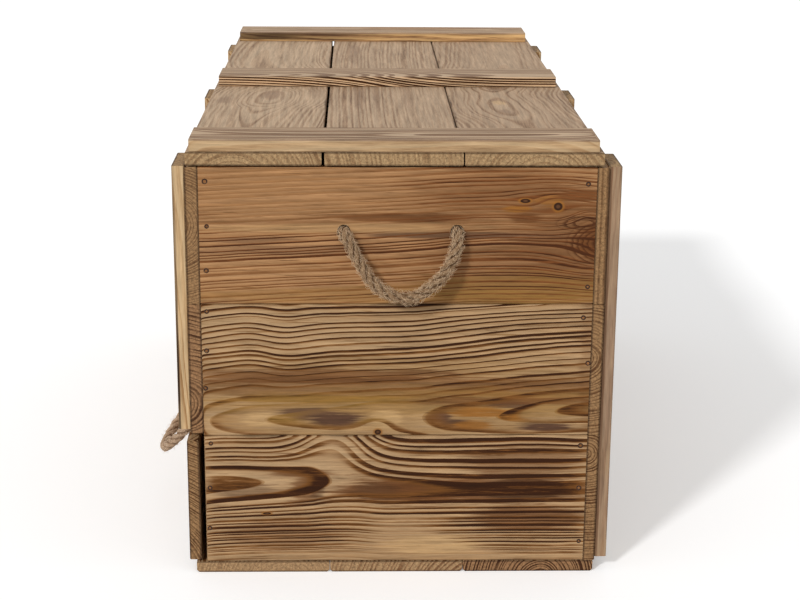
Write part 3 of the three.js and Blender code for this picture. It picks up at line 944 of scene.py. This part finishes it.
def make_wood(name, order, facts):
    """Gives one board of the frame its own wood."""
    material, tree, shader = new_material(name + " pine")
    low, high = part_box(name)
    sizes = [(high - low)[AXES[letter]] / MM for letter in order]
    place = board_place(tree, (low + high) / 2, order)
    along, across, through = place
    pushed = push_grain(tree, along, across, facts.get("pushed", ()))
    fibres = clouds(tree, stretched(tree, place, "fibres", facts["seed"]), 1.0, 4.0, 0.8)
    coarse = clouds(tree, stretched(tree, place, "coarse", facts["seed"]), 1.0, 2.0)
    group = tree.nodes.new("ShaderNodeGroup")
    group.node_tree = rings_group
    span = sizes[0] + CURVE_MARGIN
    width = facts["ring_width"]
    if "ring_low" in facts:
        width = ease(tree, across, -sizes[1] / 2, LOW_RINGS_UP_TO, facts["ring_low"], width)
    given = {"Along": along, "Across": pushed, "Through": through,
             "Heart across": curve_along(tree, along, facts["heart"], span),
             "Heart depth": curve_along(tree, along, facts["depth"], span),
             "Ring width": width, "Seed": facts["seed"], "Waver": facts["waver"],
             "Fibres": fibres, "Begins": facts["begins"], "Ends": facts["ends"]}
    for socket, value in given.items():
        feed(tree, group.inputs[socket], value)
    rings = group.outputs

    tone, share = wood_tone(tree, place, rings, fibres, facts)
    normal = node(tree, "TexCoord").outputs["Normal"]
    facing = node(tree, "SeparateXYZ", {"Vector": normal}).outputs
    # Faces that look up take a greyer, paler copy of the wood: painted light from above.
    if "top" in facts:
        sky_lit_top_facts = dict(facts, wood=facts["top"], strength=facts["top_strength"])
        sky_lit_top_tone, _ = wood_tone(tree, place, rings, fibres, sky_lit_top_facts)
        tone = blend(tree, ease(tree, facing[2], *FACING), tone, sky_lit_top_tone)
    tone = scorch_arrises(tree, tone, place, sizes, facts)

    end_on = ease(tree, calc(tree, "ABSOLUTE", facing[AXES[order[0]]]), *FACING)
    end_tone, speckle = end_wood(tree, place, rings["Line"], sizes[2], facts)
    tone = blend(tree, end_on, tone, end_tone)

    grain = scaled(tree, fibres, -FIBRES_SHOWN, scaled(tree, coarse, COARSE_SHOWN, 1.0))
    grit = node(tree, "Mix", None, data_type="FLOAT")
    feed(tree, grit.inputs[0], end_on)
    feed(tree, grit.inputs[2], grain)
    feed(tree, grit.inputs[3], scaled(tree, speckle, SPECKLE_SHOWN, 1.0))
    tone = node(tree, "VectorMath", {0: tone, "Scale": grit.outputs[0]}, operation="SCALE")
    feed(tree, shader.inputs["Base Color"], tone.outputs[0])
    feed(tree, shader.inputs["Roughness"], scaled(tree, share, LINE_POLISH, WOOD_ROUGHNESS))
    shader.inputs["Specular IOR Level"].default_value = WOOD_SPECULAR
    height = scaled(tree, fibres, FIBRE_RISE, share)
    bump = node(tree, "Bump", {"Height": height, "Strength": 0.5, "Distance": LINE_RISE})
    feed(tree, shader.inputs["Normal"], bump.outputs[0])
    dress(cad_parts[name], material)
    return len(tree.nodes)


print("the lines stand out by up to", round(LINE_RISE / MM, 2), "mm")

# %% [markdown]
# ## The boards that are seen square on
#
# These follow the photograph line by line. Each has its own heart line, the depth of the heart
# below the face along the board, and a few places where the grain is pushed aside: by a knot, or
# by a branch just outside the board. Places are in millimetres from the middle of the board. An
# oval is its middle and its reach both ways. A heat is a gain and an oval, a spot is a tint, an
# amount and an oval, and a whorl is an oval and the number of turns in it.

# %% Describe the lowest board of the near end
SHOWN = {
    "near_end_board_bottom": dict(
        wood="flamed", strength=1.15, ring_width=5.0, ring_low=3.9, seed=3.0, waver=0.35,
        begins=0.08,
        heart=[(-198, 14), (-70, 18), (0, 13), (198, 13)],
        depth=[(-198, 8.5), (-153, 10.5), (-96, 15), (-60, 20), (-20, 22), (198, 24)],
        pushed=[(-62, 74, 38, 34, 26, 0.0), (-108, 0, 40, 14, 0.0, 0.0),
                (120, 46, 100, 30, 0.0, 0.25)],
        heat=[(0.8, (95, 42, 75, 24)), (0.75, (115, -18, 70, 18)), (0.5, (-150, 2, 50, 24)),
              (-1.2, (30, -60, 60, 17)), (-0.7, (-62, 48, 20, 22)), (0.4, (-95, 12, 40, 10)),
              (-0.6, (198, 0, 10, 90)), (-0.6, (-198, 0, 8, 90)), (-0.9, (40, -68, 260, 12)),
              (-0.5, (-110, -64, 60, 9)), (-0.3, (-140, 30, 70, 40)), (-0.9, (0, -36, 64, 22)),
              (0.4, (130, 30, 90, 40))],
        spots=[("RED_BROWN", 0.85, (90, 10, 120, 14)), ("RED_BROWN", 0.9, (0, 9, 70, 13)),
               ("RED_BROWN", 0.8, (-98, 29, 32, 4.5)), ("RED_BROWN", 0.75, (-92, 11, 16, 15)),
               ("CHAR", 0.45, (-82, 11, 9, 13)), ("CHAR", 0.65, (130, 10, 46, 12)),
               ("CHAR", 0.4, (-22, 8, 26, 10)), ("RED_BROWN", 0.6, (130, 42, 66, 18)),
               ("PURPLE", 0.55, (-155, 8, 30, 8)), ("RED_BROWN", 0.8, (140, -22, 56, 15)),
               ("RED_BROWN", 0.45, (-120, -40, 60, 16)), ("STRAW", 0.5, (40, -52, 50, 10))],
        knots=[(-134, -16, 5, 1.6)]),
}
print("boards described:", len(SHOWN))

# %% Describe the middle board of the near end
SHOWN.update({
    "near_end_board_middle": dict(
        wood="flamed", strength=0.95, ring_width=5.2, seed=8.0, waver=0.5, begins=0.27,
        heart=[(-198, -54), (0, -52), (198, -44)],
        depth=[(-198, 38), (-172, 32), (-100, 29.5), (10, 26), (62, 20.6), (198, 15)],
        pushed=[(150, 35, 110, 55, 8, 0.0), (-19, -58, 26, 16, 10, 0.6),
                (-150, 25, 26, 60, 3.5, 0.0), (-112, 25, 26, 60, -3.5, 0.0)],
        heat=[(0.5, (120, 45, 90, 22)), (-0.4, (-60, -46, 150, 20)), (0.55, (0, 40, 300, 28)),
              (0.4, (-40, 66, 60, 6)), (0.45, (150, -6, 60, 14)), (0.5, (-20, -6, 90, 7)),
              (-0.8, (140, -58, 50, 9))],
        spots=[("OLIVE", 0.35, (0, -30, 260, 44)), ("RED_BROWN", 0.75, (-90, -6, 150, 8)),
               ("RED_BROWN", 0.55, (-20, -18, 220, 12)), ("RED_BROWN", 0.45, (150, -20, 90, 14)),
               ("OLIVE", 0.45, (60, -34, 200, 16)), ("PURPLE", 1.0, (-62, -53, 28, 7)),
               ("PURPLE", 0.85, (-94, -46, 30, 6)), ("PURPLE", 1.0, (44, -50, 15, 7)),
               ("PURPLE", 0.95, (60, -57, 17, 4.5)), ("PURPLE", 1.0, (156, -62, 27, 5)),
               ("PURPLE", 0.8, (118, -37, 26, 3.5)), ("ORANGE", 0.9, (82, -45, 32, 5)),
               ("ORANGE", 0.85, (77, -59, 20, 4.5)), ("RED_BROWN", 0.7, (120, -33, 110, 4)),
               ("OLIVE", 0.75, (-80, -31, 90, 4)), ("STRAW", 0.5, (-10, -52, 16, 9)),
               ("STRAW", 0.4, (-135, -52, 22, 8)), ("RED_BROWN", 0.35, (198, 0, 12, 80))],
        line_tints=[("ORANGE", (90, -52, 40, 10)), ("OLIVE", (-80, -42, 100, 16))],
        knots=[(-19, -66.5, 4.0, 3.2)]),
})
print("boards described:", len(SHOWN))

# %% Describe the top board of the near end
SHOWN.update({
    "near_end_board_top": dict(
        wood="amber", strength=0.62, ring_width=4.2, seed=14.0, waver=0.35,
        heart=[(-198, 84), (0, 95), (120, 101), (198, 99)],
        depth=[(-198, 26), (0, 24), (198, 22)],
        pushed=[(159, 31, 30, 17, 0.0, 0.85), (126, 37, 18, 8, 0.0, 0.6),
                (206, -6, 44, 26, 0.0, 0.85), (186, 14, 16, 9, 4.0, 0.6),
                (120, -2, 70, 26, 3, 0.0)],
        heat=[(0.8, (-140, -10, 80, 10)), (0.7, (10, -8, 120, 10)), (0.9, (110, 3, 60, 5)),
              (-1.0, (-60, 10, 170, 6)), (0.5, (-20, 18, 110, 5)), (-0.8, (-120, 45, 120, 28)),
              (0.9, (130, -40, 80, 24)), (0.5, (110, 52, 90, 12)), (0.6, (180, 5, 26, 26))],
        spots=[("RED_BROWN", 0.5, (190, -10, 70, 60)), ("RED_BROWN", 0.3, (110, 10, 110, 90)),
               ("KNOT_HEART", 0.3, (137, -35, 75, 36)), ("RED_BROWN", 0.12, (-80, 40, 300, 40)),
               ("OLIVE", 0.5, (130, -55, 110, 18)), ("OLIVE", 0.4, (0, -62, 220, 9)),
               ("RED_BROWN", 0.35, (120, 40, 80, 22)), ("ORANGE", 0.9, (119, 28.5, 14, 3.2)),
               ("RED_BROWN", 0.8, (126, 18.5, 17, 5)), ("ORANGE", 0.6, (150, 37, 14, 6)),
               ("RED_BROWN", 0.95, (202, -6, 26, 17)), ("CHAR", 0.4, (207, -7, 12, 9)),
               ("RED_BROWN", 0.85, (0, 19, 70, 5)), ("RED_BROWN", 0.5, (-120, 14, 80, 2.5)),
               ("PURPLE", 0.75, (60, 1.5, 110, 3)), ("PURPLE", 0.5, (-150, -4, 50, 3)),
               ("RED_BROWN", 0.85, (180, 42, 22, 5)), ("PURPLE", 0.45, (-110, -14, 90, 5)),
               ("STRAW", 0.3, (-60, 9, 130, 5))],
        whorls=[(206, -7, 32, 22, 7.5), (186, 14, 24, 8, 3.4)],
        knots=[(159.2, 31, 5.2, 4.8), (126.5, 36.6, 6.0, 2.6)]),
})
print("boards described:", len(SHOWN))

# %% [markdown]
# The lid's boards are greyer, paler and softer than the walls, and so are the tops of its battens
# and of the strips: painted light from the sky, which falls on faces that look up. The edges of
# the three battens each look different: the near one is plain and pale, the middle one is cut
# where the rings cross it slantwise, and the far one is golden, and charred along its front third.

# %% Describe the boards of the lid
SHOWN.update({
    "lid_board_front": dict(
        wood="sky_lit_grey", strength=0.55, ring_width=5.0, seed=21.0, waver=0.5,
        heart=[(-430, 8), (-200, -24), (0, 6), (93, 2), (250, -12), (430, -20)],
        depth=[(-430, 40), (-120, 34), (40, 27), (85, 14), (120, 13), (180, 25), (430, 36)],
        heat=[(0.4, (-230, -40, 150, 20)), (-0.3, (-230, 30, 150, 30))],
        spots=[("SMOKE", 0.7, (92, 4, 34, 11)), ("SMOKE", 0.6, (128, -50, 24, 9)),
               ("SMOKE", 0.4, (60, 55, 60, 8))]),
    "lid_board_middle": dict(
        wood="sky_lit_grey", strength=0.54, ring_width=5.6, seed=33.0, waver=0.3,
        heart=[(-430, -120), (0, -132), (430, -126)],
        depth=[(-430, 18), (0, 25), (430, 20)],
        heat=[(0.5, (100, -30, 200, 22)), (-0.3, (100, 40, 200, 25))],
        spots=[("SMOKE", 0.14, (0, 0, 900, 140)), ("SMOKE", 0.7, (60, -34, 130, 7)),
               ("SMOKE", 0.6, (80, -14, 110, 4)), ("SMOKE", 0.5, (-250, -40, 90, 8)),
               ("SMOKE", 0.4, (40, 20, 140, 6))]),
    "lid_board_back": dict(
        wood="sky_lit_grey", strength=0.66, ring_width=5.6, seed=47.0, waver=0.9,
        heart=[(-430, 30), (-190, 20), (38, -10), (136, -14), (300, 6), (430, 10)],
        depth=[(-430, 34), (-60, 30), (30, 19), (84, 26), (160, 22), (260, 30), (430, 34)],
        heat=[(-0.5, (-250, 10, 160, 40))],
        spots=[("SMOKE", 0.24, (0, 0, 900, 140)), ("SMOKE", 0.85, (40, -10, 17, 13)),
               ("SMOKE", 0.6, (204, -12, 20, 9)), ("STRAW", 0.4, (136, -13, 18, 8))]),
})
print("boards described:", len(SHOWN))

# %% Describe the battens of the lid
SHOWN.update({
    "lid_batten_near": dict(
        wood="pale", strength=0.32, top="sky_lit_grey", top_strength=2.3, ring_width=4.6, seed=5.0,
        waver=0.5,
        heart=[(-202, -4), (0, 6), (202, -2)],
        depth=[(-202, 16), (-60, 20), (70, 15), (202, 21)],
        heat=[(0.5, (60, -20, 120, 8))],
        bands=[("SMOKE", 0.24, (0, 400), (-6.6, 6.6)), ("SMOKE", 0.8, (0, 400), (5.0, 6.6))]),
    "lid_batten_middle": dict(
        wood="striped", strength=1.5, top="sky_lit_grey", top_strength=0.9, ring_width=2.9, seed=9.0,
        waver=0.22, begins=0.12,
        heart=[(-202, 20), (0, 21), (202, 20)],
        heat=[(1.2, (60, -20, 150, 60))],
        depth=[(-202, 36), (-120, 38), (-70, 42), (60, 60), (110, 63), (202, 64)]),
    "lid_batten_far": dict(
        wood="golden", strength=0.55, top="sky_lit_grey", top_strength=0.6, ring_width=3.6, seed=17.0,
        waver=0.6,
        heart=[(-202, 4), (202, -6)],
        depth=[(-202, 18), (-100, 24), (202, 20)],
        spots=[("ORANGE", 0.5, (60, -20, 90, 16))],
        bands=[("CHAR", 0.85, (-158, 95), (-4.0, 6.4)), ("PURPLE", 0.7, (-60, 60), (1.0, 6.4)),
               ("SMOKE", 0.8, (60, 220), (4.2, 6.4))]),
})
print("boards described:", len(SHOWN))

# %% [markdown]
# Of the long boards and the strips, the photograph shows little more than an end or an edge. The
# heart of each is laid so that its rings cross the sawn end the way they do there.

# %% Describe the long boards and the near strips
LONG_HALF = 430


def from_end_to_end(values):
    """(place, value) pairs with the values spread evenly from the far end to the near one."""
    places = (-LONG_HALF, 0, LONG_HALF) if len(values) == 3 else (-LONG_HALF, LONG_HALF)
    return list(zip(places, values))


def long_board(strength, ring_width, seed, waver, end_strength, heart, depth, end="wall"):
    """The facts of a board that shows its near end."""
    return dict(
        wood="flamed", strength=strength, ring_width=ring_width, seed=seed, waver=waver,
        end=end, end_strength=end_strength, heart=from_end_to_end(heart),
        depth=from_end_to_end(depth))


SHOWN.update({
    "front_board_top": long_board(0.9, 2.7, 71.0, 0.3, 0.8, (-10, 12), (24, 22)),
    "front_board_middle": long_board(
        1.0, 4.0, 74.0, 0.6, 1.15, (20, -20, -38), (30, 14), end="dark"),
    "flap_board": long_board(0.9, 2.8, 79.0, 0.3, 1.5, (10, -30, -96), (26, 64)),
    "back_board_bottom": long_board(0.9, 3.0, 82.0, 0.5, 1.4, (10, 50), (34, 6)),
    "back_board_middle": long_board(0.9, 3.4, 85.0, 0.5, 1.1, (-10, 14), (24, 12)),
    "floor_board_front": long_board(
        0.8, 4.2, 91.0, 0.4, 0.35, (-20, 20), (30, 24), end="floor"),
    "floor_board_middle": long_board(
        0.8, 4.6, 94.0, 0.4, 0.9, (30, 96), (20, 44), end="floor"),
    "floor_board_back": long_board(
        0.8, 3.4, 97.0, 0.4, 1.8, (0, 12), (30, 15), end="dark"),
    "front_strip_near": dict(
        wood="pale", strength=0.45, ring_width=4.4, seed=61.0, waver=0.5, top="sky_lit_grey",
        top_strength=0.4,
        heart=[(-140, 8), (140, -6)],
        depth=[(-140, 22), (140, 26)],
        bands=[("CHAR", 1.0, (-90, 170), (-8.0, -3.8))]),
    "back_strip_near": dict(
        wood="pale", strength=0.5, ring_width=4.4, seed=66.0, waver=0.5, top="sky_lit_grey",
        top_strength=0.4,
        heart=[(-210, -8), (210, 10)],
        depth=[(-210, 24), (210, 20)],
        heat=[(0.25, (0, 0, 400, 60))],
        # The bands darken the strip's edge face, most along the side next to the wall.
        bands=[("SMOKE", 0.9, (0, 500), (-7.6, 7.6)), ("RED_BROWN", 0.5, (0, 500), (-6.6, -3.0)),
               ("CHAR", 0.4, (0, 500), (-6.6, -3.6))]),
})
print("boards described:", len(SHOWN))

# %% [markdown]
# ## All other boards
#
# The rest of the boards take their place in the tree from a seeded draw: how far the heart lies
# to one side, how deep it lies, how wide the rings are, where the flame stayed longer, and on a
# long wide board one knot.

# %% List the kinds of boards
KINDS = {
    "near_end": dict(order="YZX", wood="flamed", end="wall"),
    "far_end": dict(order="YZX", wood="flamed", end="wall"),
    "lid_board": dict(order="XYZ", wood="sky_lit_grey", end="lid", begins=0.1, ends=0.8,
                      broken=1.5),
    "floor_board": dict(order="XYZ", wood="flamed", end="floor", strength=0.7),
    "front_board": dict(order="XZY", wood="flamed", end="wall", end_strength=1.0),
    "back_board": dict(order="XZY", wood="flamed", end="wall"),
    "flap_board": dict(order="XZY", wood="flamed", end="wall"),
    "lid_batten": dict(order="YXZ", wood="pale", end="lid"),
    "front_strip": dict(order="ZXY", wood="pale", end="lid", strength=0.6, top="sky_lit_grey",
                        top_strength=0.4),
    "back_strip": dict(order="ZXY", wood="pale", end="lid", strength=0.6, top="sky_lit_grey",
                       top_strength=0.4),
    "corner_batten": dict(order="ZYX", wood="raw", end="raw", strength=0.6, burn=0.0),
}
HABITS = dict(strength=0.9, waver=0.45, burn=0.8, end_strength=0.9, begins=0.2, ends=0.93,
              broken=1.2)
print("kinds of boards:", len(KINDS))

# %% Dress every board
HEART_DEPTHS = (20, 40)
RING_WIDTHS = (3.8, 5.6)
KNOT_SIZES = (4.5, 8.0)
KNOT_BOARD_LENGTH, KNOT_BOARD_WIDTH = 800, 100


def drawn_facts(length, width, draw):
    """A place in the tree for a board that the photograph doesn't show."""
    heart = draw.uniform(-0.6, 0.6) * width
    depth = draw.uniform(*HEART_DEPTHS)
    spread = [-length / 2, -length / 6, length / 6, length / 2]
    facts = dict(
        ring_width=draw.uniform(*RING_WIDTHS), seed=draw.uniform(0, 90),
        heart=[(u, heart + draw.uniform(-10, 10)) for u in spread],
        depth=[(u, depth + draw.uniform(-9, 9)) for u in spread],
        heat=[(draw.uniform(-0.5, 0.5), (draw.uniform(-0.5, 0.5) * length,
                                         draw.uniform(-0.4, 0.4) * width,
                                         draw.uniform(0.1, 0.25) * length, width * 0.25))
              for _ in range(3)])
    if length > KNOT_BOARD_LENGTH and width > KNOT_BOARD_WIDTH:
        u, v = draw.uniform(-0.42, 0.42) * length, draw.uniform(-0.35, 0.35) * width
        size = draw.uniform(*KNOT_SIZES)
        facts["knots"] = [(u, v, size, size * 0.85)]
        facts["pushed"] = [(u, v, size * 5.5, size * 2.8, 0.0, 0.72)]
    return facts


BOARD_SEED = 27
draw = random.Random(BOARD_SEED)
total = 0
for name in sorted(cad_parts):
    kind = next((kind for kind in KINDS if name.startswith(kind)), None)
    if kind:
        habits = dict(HABITS, **KINDS[kind])
        low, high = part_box(name)
        length, width = [(high - low)[AXES[letter]] / MM for letter in habits["order"][:2]]
        facts = dict(habits, **drawn_facts(length, width, draw))
        if name in SHOWN:
            facts = dict(habits, **SHOWN[name])
        total += make_wood(name, habits["order"], facts)
print("nodes in the wood materials:", total)

# %% [markdown]
# ## Steel
#
# The hinges are plain zinc-plated steel, a little dull and cloudy. Nail heads are bare wire,
# browned by the flame. The torn wood round a nail is rough, and its near-black colour is painted
# shade of the nail hole.

# %% Make the metals and the torn wood
STEEL_CLOUDS, HOLE_SHADE_CLOUDS = 140.0, 900.0
STEEL_ROUGHER, TORN_ROUGHNESS = 0.18, 0.9


def cloudy(name, dark, light, size, detail, full):
    """A new material, dark and light in patches. full is where the light is whole."""
    material, tree, shader = new_material(name)
    place = node(tree, "TexCoord").outputs["Object"]
    cloud = clouds(tree, place, size, detail, 0.6)
    feed(tree, shader.inputs["Base Color"],
         blend(tree, ease(tree, cloud, -0.5, full), dark, light))
    return material, tree, shader, cloud


def make_steel(name, dark, light, rough):
    material, tree, shader, cloud = cloudy(name, dark, light, STEEL_CLOUDS, 3.0, 0.5)
    shader.inputs["Metallic"].default_value = 1.0
    feed(tree, shader.inputs["Roughness"],
         ease(tree, cloud, -0.6, 0.6, rough, rough + STEEL_ROUGHER))
    return material


steel = make_steel("zinc steel", paint(112, 113, 112), paint(150, 151, 148), 0.42)
nail_steel = make_steel("browned steel", paint(124, 84, 50), paint(174, 128, 84), 0.7)
for name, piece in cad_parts.items():
    if "hinge" in name:
        dress(piece, steel)

# Painted shade: the near-black colour round a nail stands for the shade of its hole.
torn_wood_and_hole_shade, _, torn_shader, _ = cloudy(
    "torn wood and hole shade", paint(30, 14, 6), paint(70, 40, 20), HOLE_SHADE_CLOUDS, 2.0, 0.6)
torn_shader.inputs["Roughness"].default_value = TORN_ROUGHNESS
print("materials:", len(bpy.data.materials))

# %% [markdown]
# ## Nails
#
# A nail head sits just under a torn rim of wood. Seen from a step away it is a small dark ring
# with a lighter middle: the rim and the gap round the head are painted near black as the shade
# of the hole, and the head is steel. Each starts as one round face, which is inset four times: up
# to the rim, down into the gap, up to the head, and once more for its slight dome.

# %% Drive the nails
NAIL_RIM = 2.7 * MM
NAIL_SIDES = 10
NAIL_LEAN = 0.06
NAIL_SIZES = (0.85, 1.12)
NAIL_LIFT = 0.06
NAIL_STEPS = [(0.4, 0.24), (0.85, -0.26), (0.12, 0.1), (0.6, 0.1)]
HEAD_STEP = 2


def drive_nail(bm, place, out, draw):
    """One nail head on a face, at place: painted hole shade round a steel head."""
    lean = Vector((draw.uniform(-1, 1), draw.uniform(-1, 1), draw.uniform(-1, 1))) * NAIL_LEAN
    stand = (out + lean).normalized().to_track_quat("Z", "Y").to_matrix().to_4x4()
    size = NAIL_RIM * draw.uniform(*NAIL_SIZES)
    made = bmesh.ops.create_circle(
        bm, cap_ends=True, segments=NAIL_SIDES, radius=size,
        matrix=Matrix.Translation(place + out * NAIL_LIFT * MM) @ stand)
    cap = made["verts"][0].link_faces[0]
    for number, (step, rise) in enumerate(NAIL_STEPS):
        bmesh.ops.inset_individual(bm, faces=[cap], thickness=step * MM, depth=rise * MM,
                                   use_even_offset=True)
        cap.material_index = 1 if number >= HEAD_STEP else 0
        if number == len(NAIL_STEPS) - 1:
            for edge in cap.edges:
                for face in edge.link_faces:
                    face.material_index = 1


def nail_piece(name, body, nails, seed):
    draw = random.Random(seed)
    bm = bmesh.new()
    for place, out in nails:
        drive_nail(bm, Vector(place) * MM, out, draw)
    piece = finished(name, bm, torn_wood_and_hole_shade, smooth=False)
    piece.data.materials.append(nail_steel)
    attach(piece, body)
    print(name, "nails", len(nails))


print("a torn rim is about", round(2 * NAIL_RIM / MM, 2), "mm across")

# %% [markdown]
# The places of the nails in the near end follow the photograph. The others keep the same habit:
# two to a board wherever it crosses a batten, a strip or another board.

# %% Place the nails
NEAR_NAILS = [
    (-190, 419), (-189, 373.5), (-190.5, 328), (-191, 285.5), (-192, 244), (-194, 204),
    (-190, 144), (-192, 95), (-193, 50), (189, 417), (192, 311.5), (189, 279), (195.5, 230.5),
    (191, 141), (191, 94), (193, 34),
]
ROW_MIDDLES = [82.3, 222.8, 363.3]
STRIP_MIDDLES = [396, 0, -396]
STRIP_FACE = 222.5
NAIL_APART, NAILS_BESIDE, FRONT_RAISED = 42, 14, 3
FLOOR_NAIL_ENDS, FLOOR_NAIL_ROWS = (423, -423), (-172, -104, -32, 38, 106, 172)
LID_UNDER = 434.9
LID_NAIL_PLACES, LID_NAIL_ROWS = (385, 0, -385), (-178, -106, -38, 32, 100, 172)
LOOSE = random.Random(5)


def about(value, spread=2.5):
    return value + LOOSE.uniform(-spread, spread)


wall_nails = [((430, y, z), X) for y, z in NEAR_NAILS]
wall_nails += [((-430, about(y), about(z)), -X) for y, z in NEAR_NAILS]
for x in STRIP_MIDDLES:
    for row, z in enumerate(ROW_MIDDLES):
        for dz in (-NAIL_APART, NAIL_APART):
            for dx in (-NAILS_BESIDE, NAILS_BESIDE):
                wall_nails.append(((about(x + dx), STRIP_FACE, about(z + dz)), Y))
                if row > 0:
                    up_nail = about(x + dx), -STRIP_FACE, about(z + dz + FRONT_RAISED)
                    wall_nails.append((up_nail, -Y))
for x in FLOOR_NAIL_ENDS:
    for y in FLOOR_NAIL_ROWS:
        wall_nails.append(((x, about(y), 0), -Z))
nail_piece("wall_nails", "carcass", wall_nails, 71)

lid_nails = []
for x in LID_NAIL_PLACES:
    for y in LID_NAIL_ROWS:
        lid_nails.append(((about(x, 6), about(y), LID_UNDER), -Z))
nail_piece("lid_nails", "lid", lid_nails, 72)

# %% [markdown]
# ## Screws
#
# Every hinge leaf is held by three small countersunk screws with a straight slot. A head is one
# round face, cut twice by a plane so that a narrow strip stays in the middle, and that strip is
# inset and pushed down.

# %% Turn in the screws
SCREW_RADIUS = 1.4 * MM
SCREW_SIDES = 16
SCREW_TURN = 0.9
SLOT_EDGE = 0.03 * MM
SLOT_HALF = 0.24 * MM
SLOT_DEEP = 0.35 * MM


def turn_in_screw(bm, place, out, angle):
    stand = out.to_track_quat("Z", "Y").to_matrix().to_4x4()
    made = bmesh.ops.create_circle(
        bm, cap_ends=True, segments=SCREW_SIDES, radius=SCREW_RADIUS,
        matrix=Matrix.Translation(place) @ stand @ Matrix.Rotation(angle, 4, "Z"))
    face = made["verts"][0].link_faces[0]
    slot = (stand @ Matrix.Rotation(angle, 4, "Z")).to_3x3() @ X
    parts = [face]
    for hand in (1, -1):
        geometry = parts + list({e for f in parts for e in f.edges})
        geometry += list({v for f in parts for v in f.verts})
        cut = bmesh.ops.bisect_plane(
            bm, geom=geometry, plane_co=place + slot * (hand * SLOT_HALF), plane_no=slot)
        parts = [part for part in cut["geom"] if isinstance(part, bmesh.types.BMFace)]
    middle = [f for f in parts if abs((f.calc_center_median() - place).dot(slot)) < SLOT_HALF / 2]
    bmesh.ops.inset_region(bm, faces=middle, use_boundary=True, thickness=SLOT_EDGE,
                           depth=-SLOT_DEEP)


def screw_piece(name, body, screws):
    bm = bmesh.new()
    for number, (place, out) in enumerate(screws):
        turn_in_screw(bm, Vector(place) * MM, out, number * SCREW_TURN)
    piece = finished(name, bm, steel, smooth=False)
    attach(piece, body)
    print(name, "screws", len(screws))


print("a screw head is", round(2 * SCREW_RADIUS / MM, 2), "mm across")

# %% Place the screws
LID_HINGES, LID_THIRD = (200, -200), (-20, 0, 20)
FLAP_HINGES, FLAP_THIRD = (300, -300), (-16.67, 0, 16.67)


def leaf_screws(hinges, third, y, z, out):
    """The places of the screws in the leaves of one kind, and where their heads point."""
    return [((x + dx, y, z), out) for x in hinges for dx in third]


wall_screws = leaf_screws(LID_HINGES, LID_THIRD, 204.2, 433.95, Z)
floor_screws = leaf_screws(FLAP_HINGES, FLAP_THIRD, -197, 12.95, Z)
screw_piece("carcass_screws", "carcass", wall_screws + floor_screws)
screw_piece("lid_screws", "lid", leaf_screws(LID_HINGES, LID_THIRD, 191.3, 434.25, -Z))
screw_piece("flap_screws", "flap", leaf_screws(FLAP_HINGES, FLAP_THIRD, -208.7, 13.35, -Z))

# %% [markdown]
# ## Floor, background and light
#
# A pale floor keeps the shadow of the box. The background is white to the camera, and only lights
# the box softly: the floor glows a little for camera rays alone, so it looks white without sending
# more light to the box. One soft lamp stands above the photographer's left shoulder.

# %% Lay the floor
FLOOR_SIZE = 24.0
FLOOR_GLOW = 0.27
bm = bmesh.new()
bmesh.ops.create_grid(bm, x_segments=1, y_segments=1, size=FLOOR_SIZE / 2)
floor_white, floor_tree, floor_shader = new_material("studio floor")
floor_shader.inputs["Base Color"].default_value = paint(240, 240, 240)
floor_shader.inputs["Roughness"].default_value = 0.9
floor_shader.inputs["Specular IOR Level"].default_value = 0.0
floor_shader.inputs["Emission Color"].default_value = (1, 1, 1, 1)
floor_ray = node(floor_tree, "LightPath").outputs
feed(floor_tree, floor_shader.inputs["Emission Strength"],
     times(floor_tree, floor_ray["Is Camera Ray"], FLOOR_GLOW))
studio_floor = finished("studio_floor", bm, floor_white, smooth=False)
print("floor", FLOOR_SIZE, "m wide")

# %% Light the box
SKY_LEVEL = 0.62
KEY_STRENGTH, KEY_ANGLE = 1.85, math.radians(7)
KEY_TOWARDS = Vector((-0.8, 0.55, -0.6))
bpy.context.scene.view_settings.view_transform = "Standard"
world = bpy.data.worlds.new("studio")
bpy.context.scene.world = world
world.use_nodes = True
sky = world.node_tree
surround = sky.nodes["Background"]
surround.inputs["Color"].default_value = (1, 1, 1, 1)
ray = node(sky, "LightPath").outputs
seen = calc(sky, "MAXIMUM", ray["Is Camera Ray"],
            calc(sky, "MAXIMUM", ray["Is Glossy Ray"], ray["Is Transmission Ray"]))
feed(sky, surround.inputs["Strength"], ease(sky, seen, 0.0, 1.0, SKY_LEVEL, 1.0))

lamp = bpy.data.lights.new("key light", "SUN")
lamp.energy = KEY_STRENGTH
lamp.angle = KEY_ANGLE
key_light = bpy.data.objects.new("key light", lamp)
bpy.context.scene.collection.objects.link(key_light)
key_light.rotation_euler = KEY_TOWARDS.to_track_quat("-Z", "Y").to_euler()
print("key light", KEY_STRENGTH, "and sky", SKY_LEVEL)
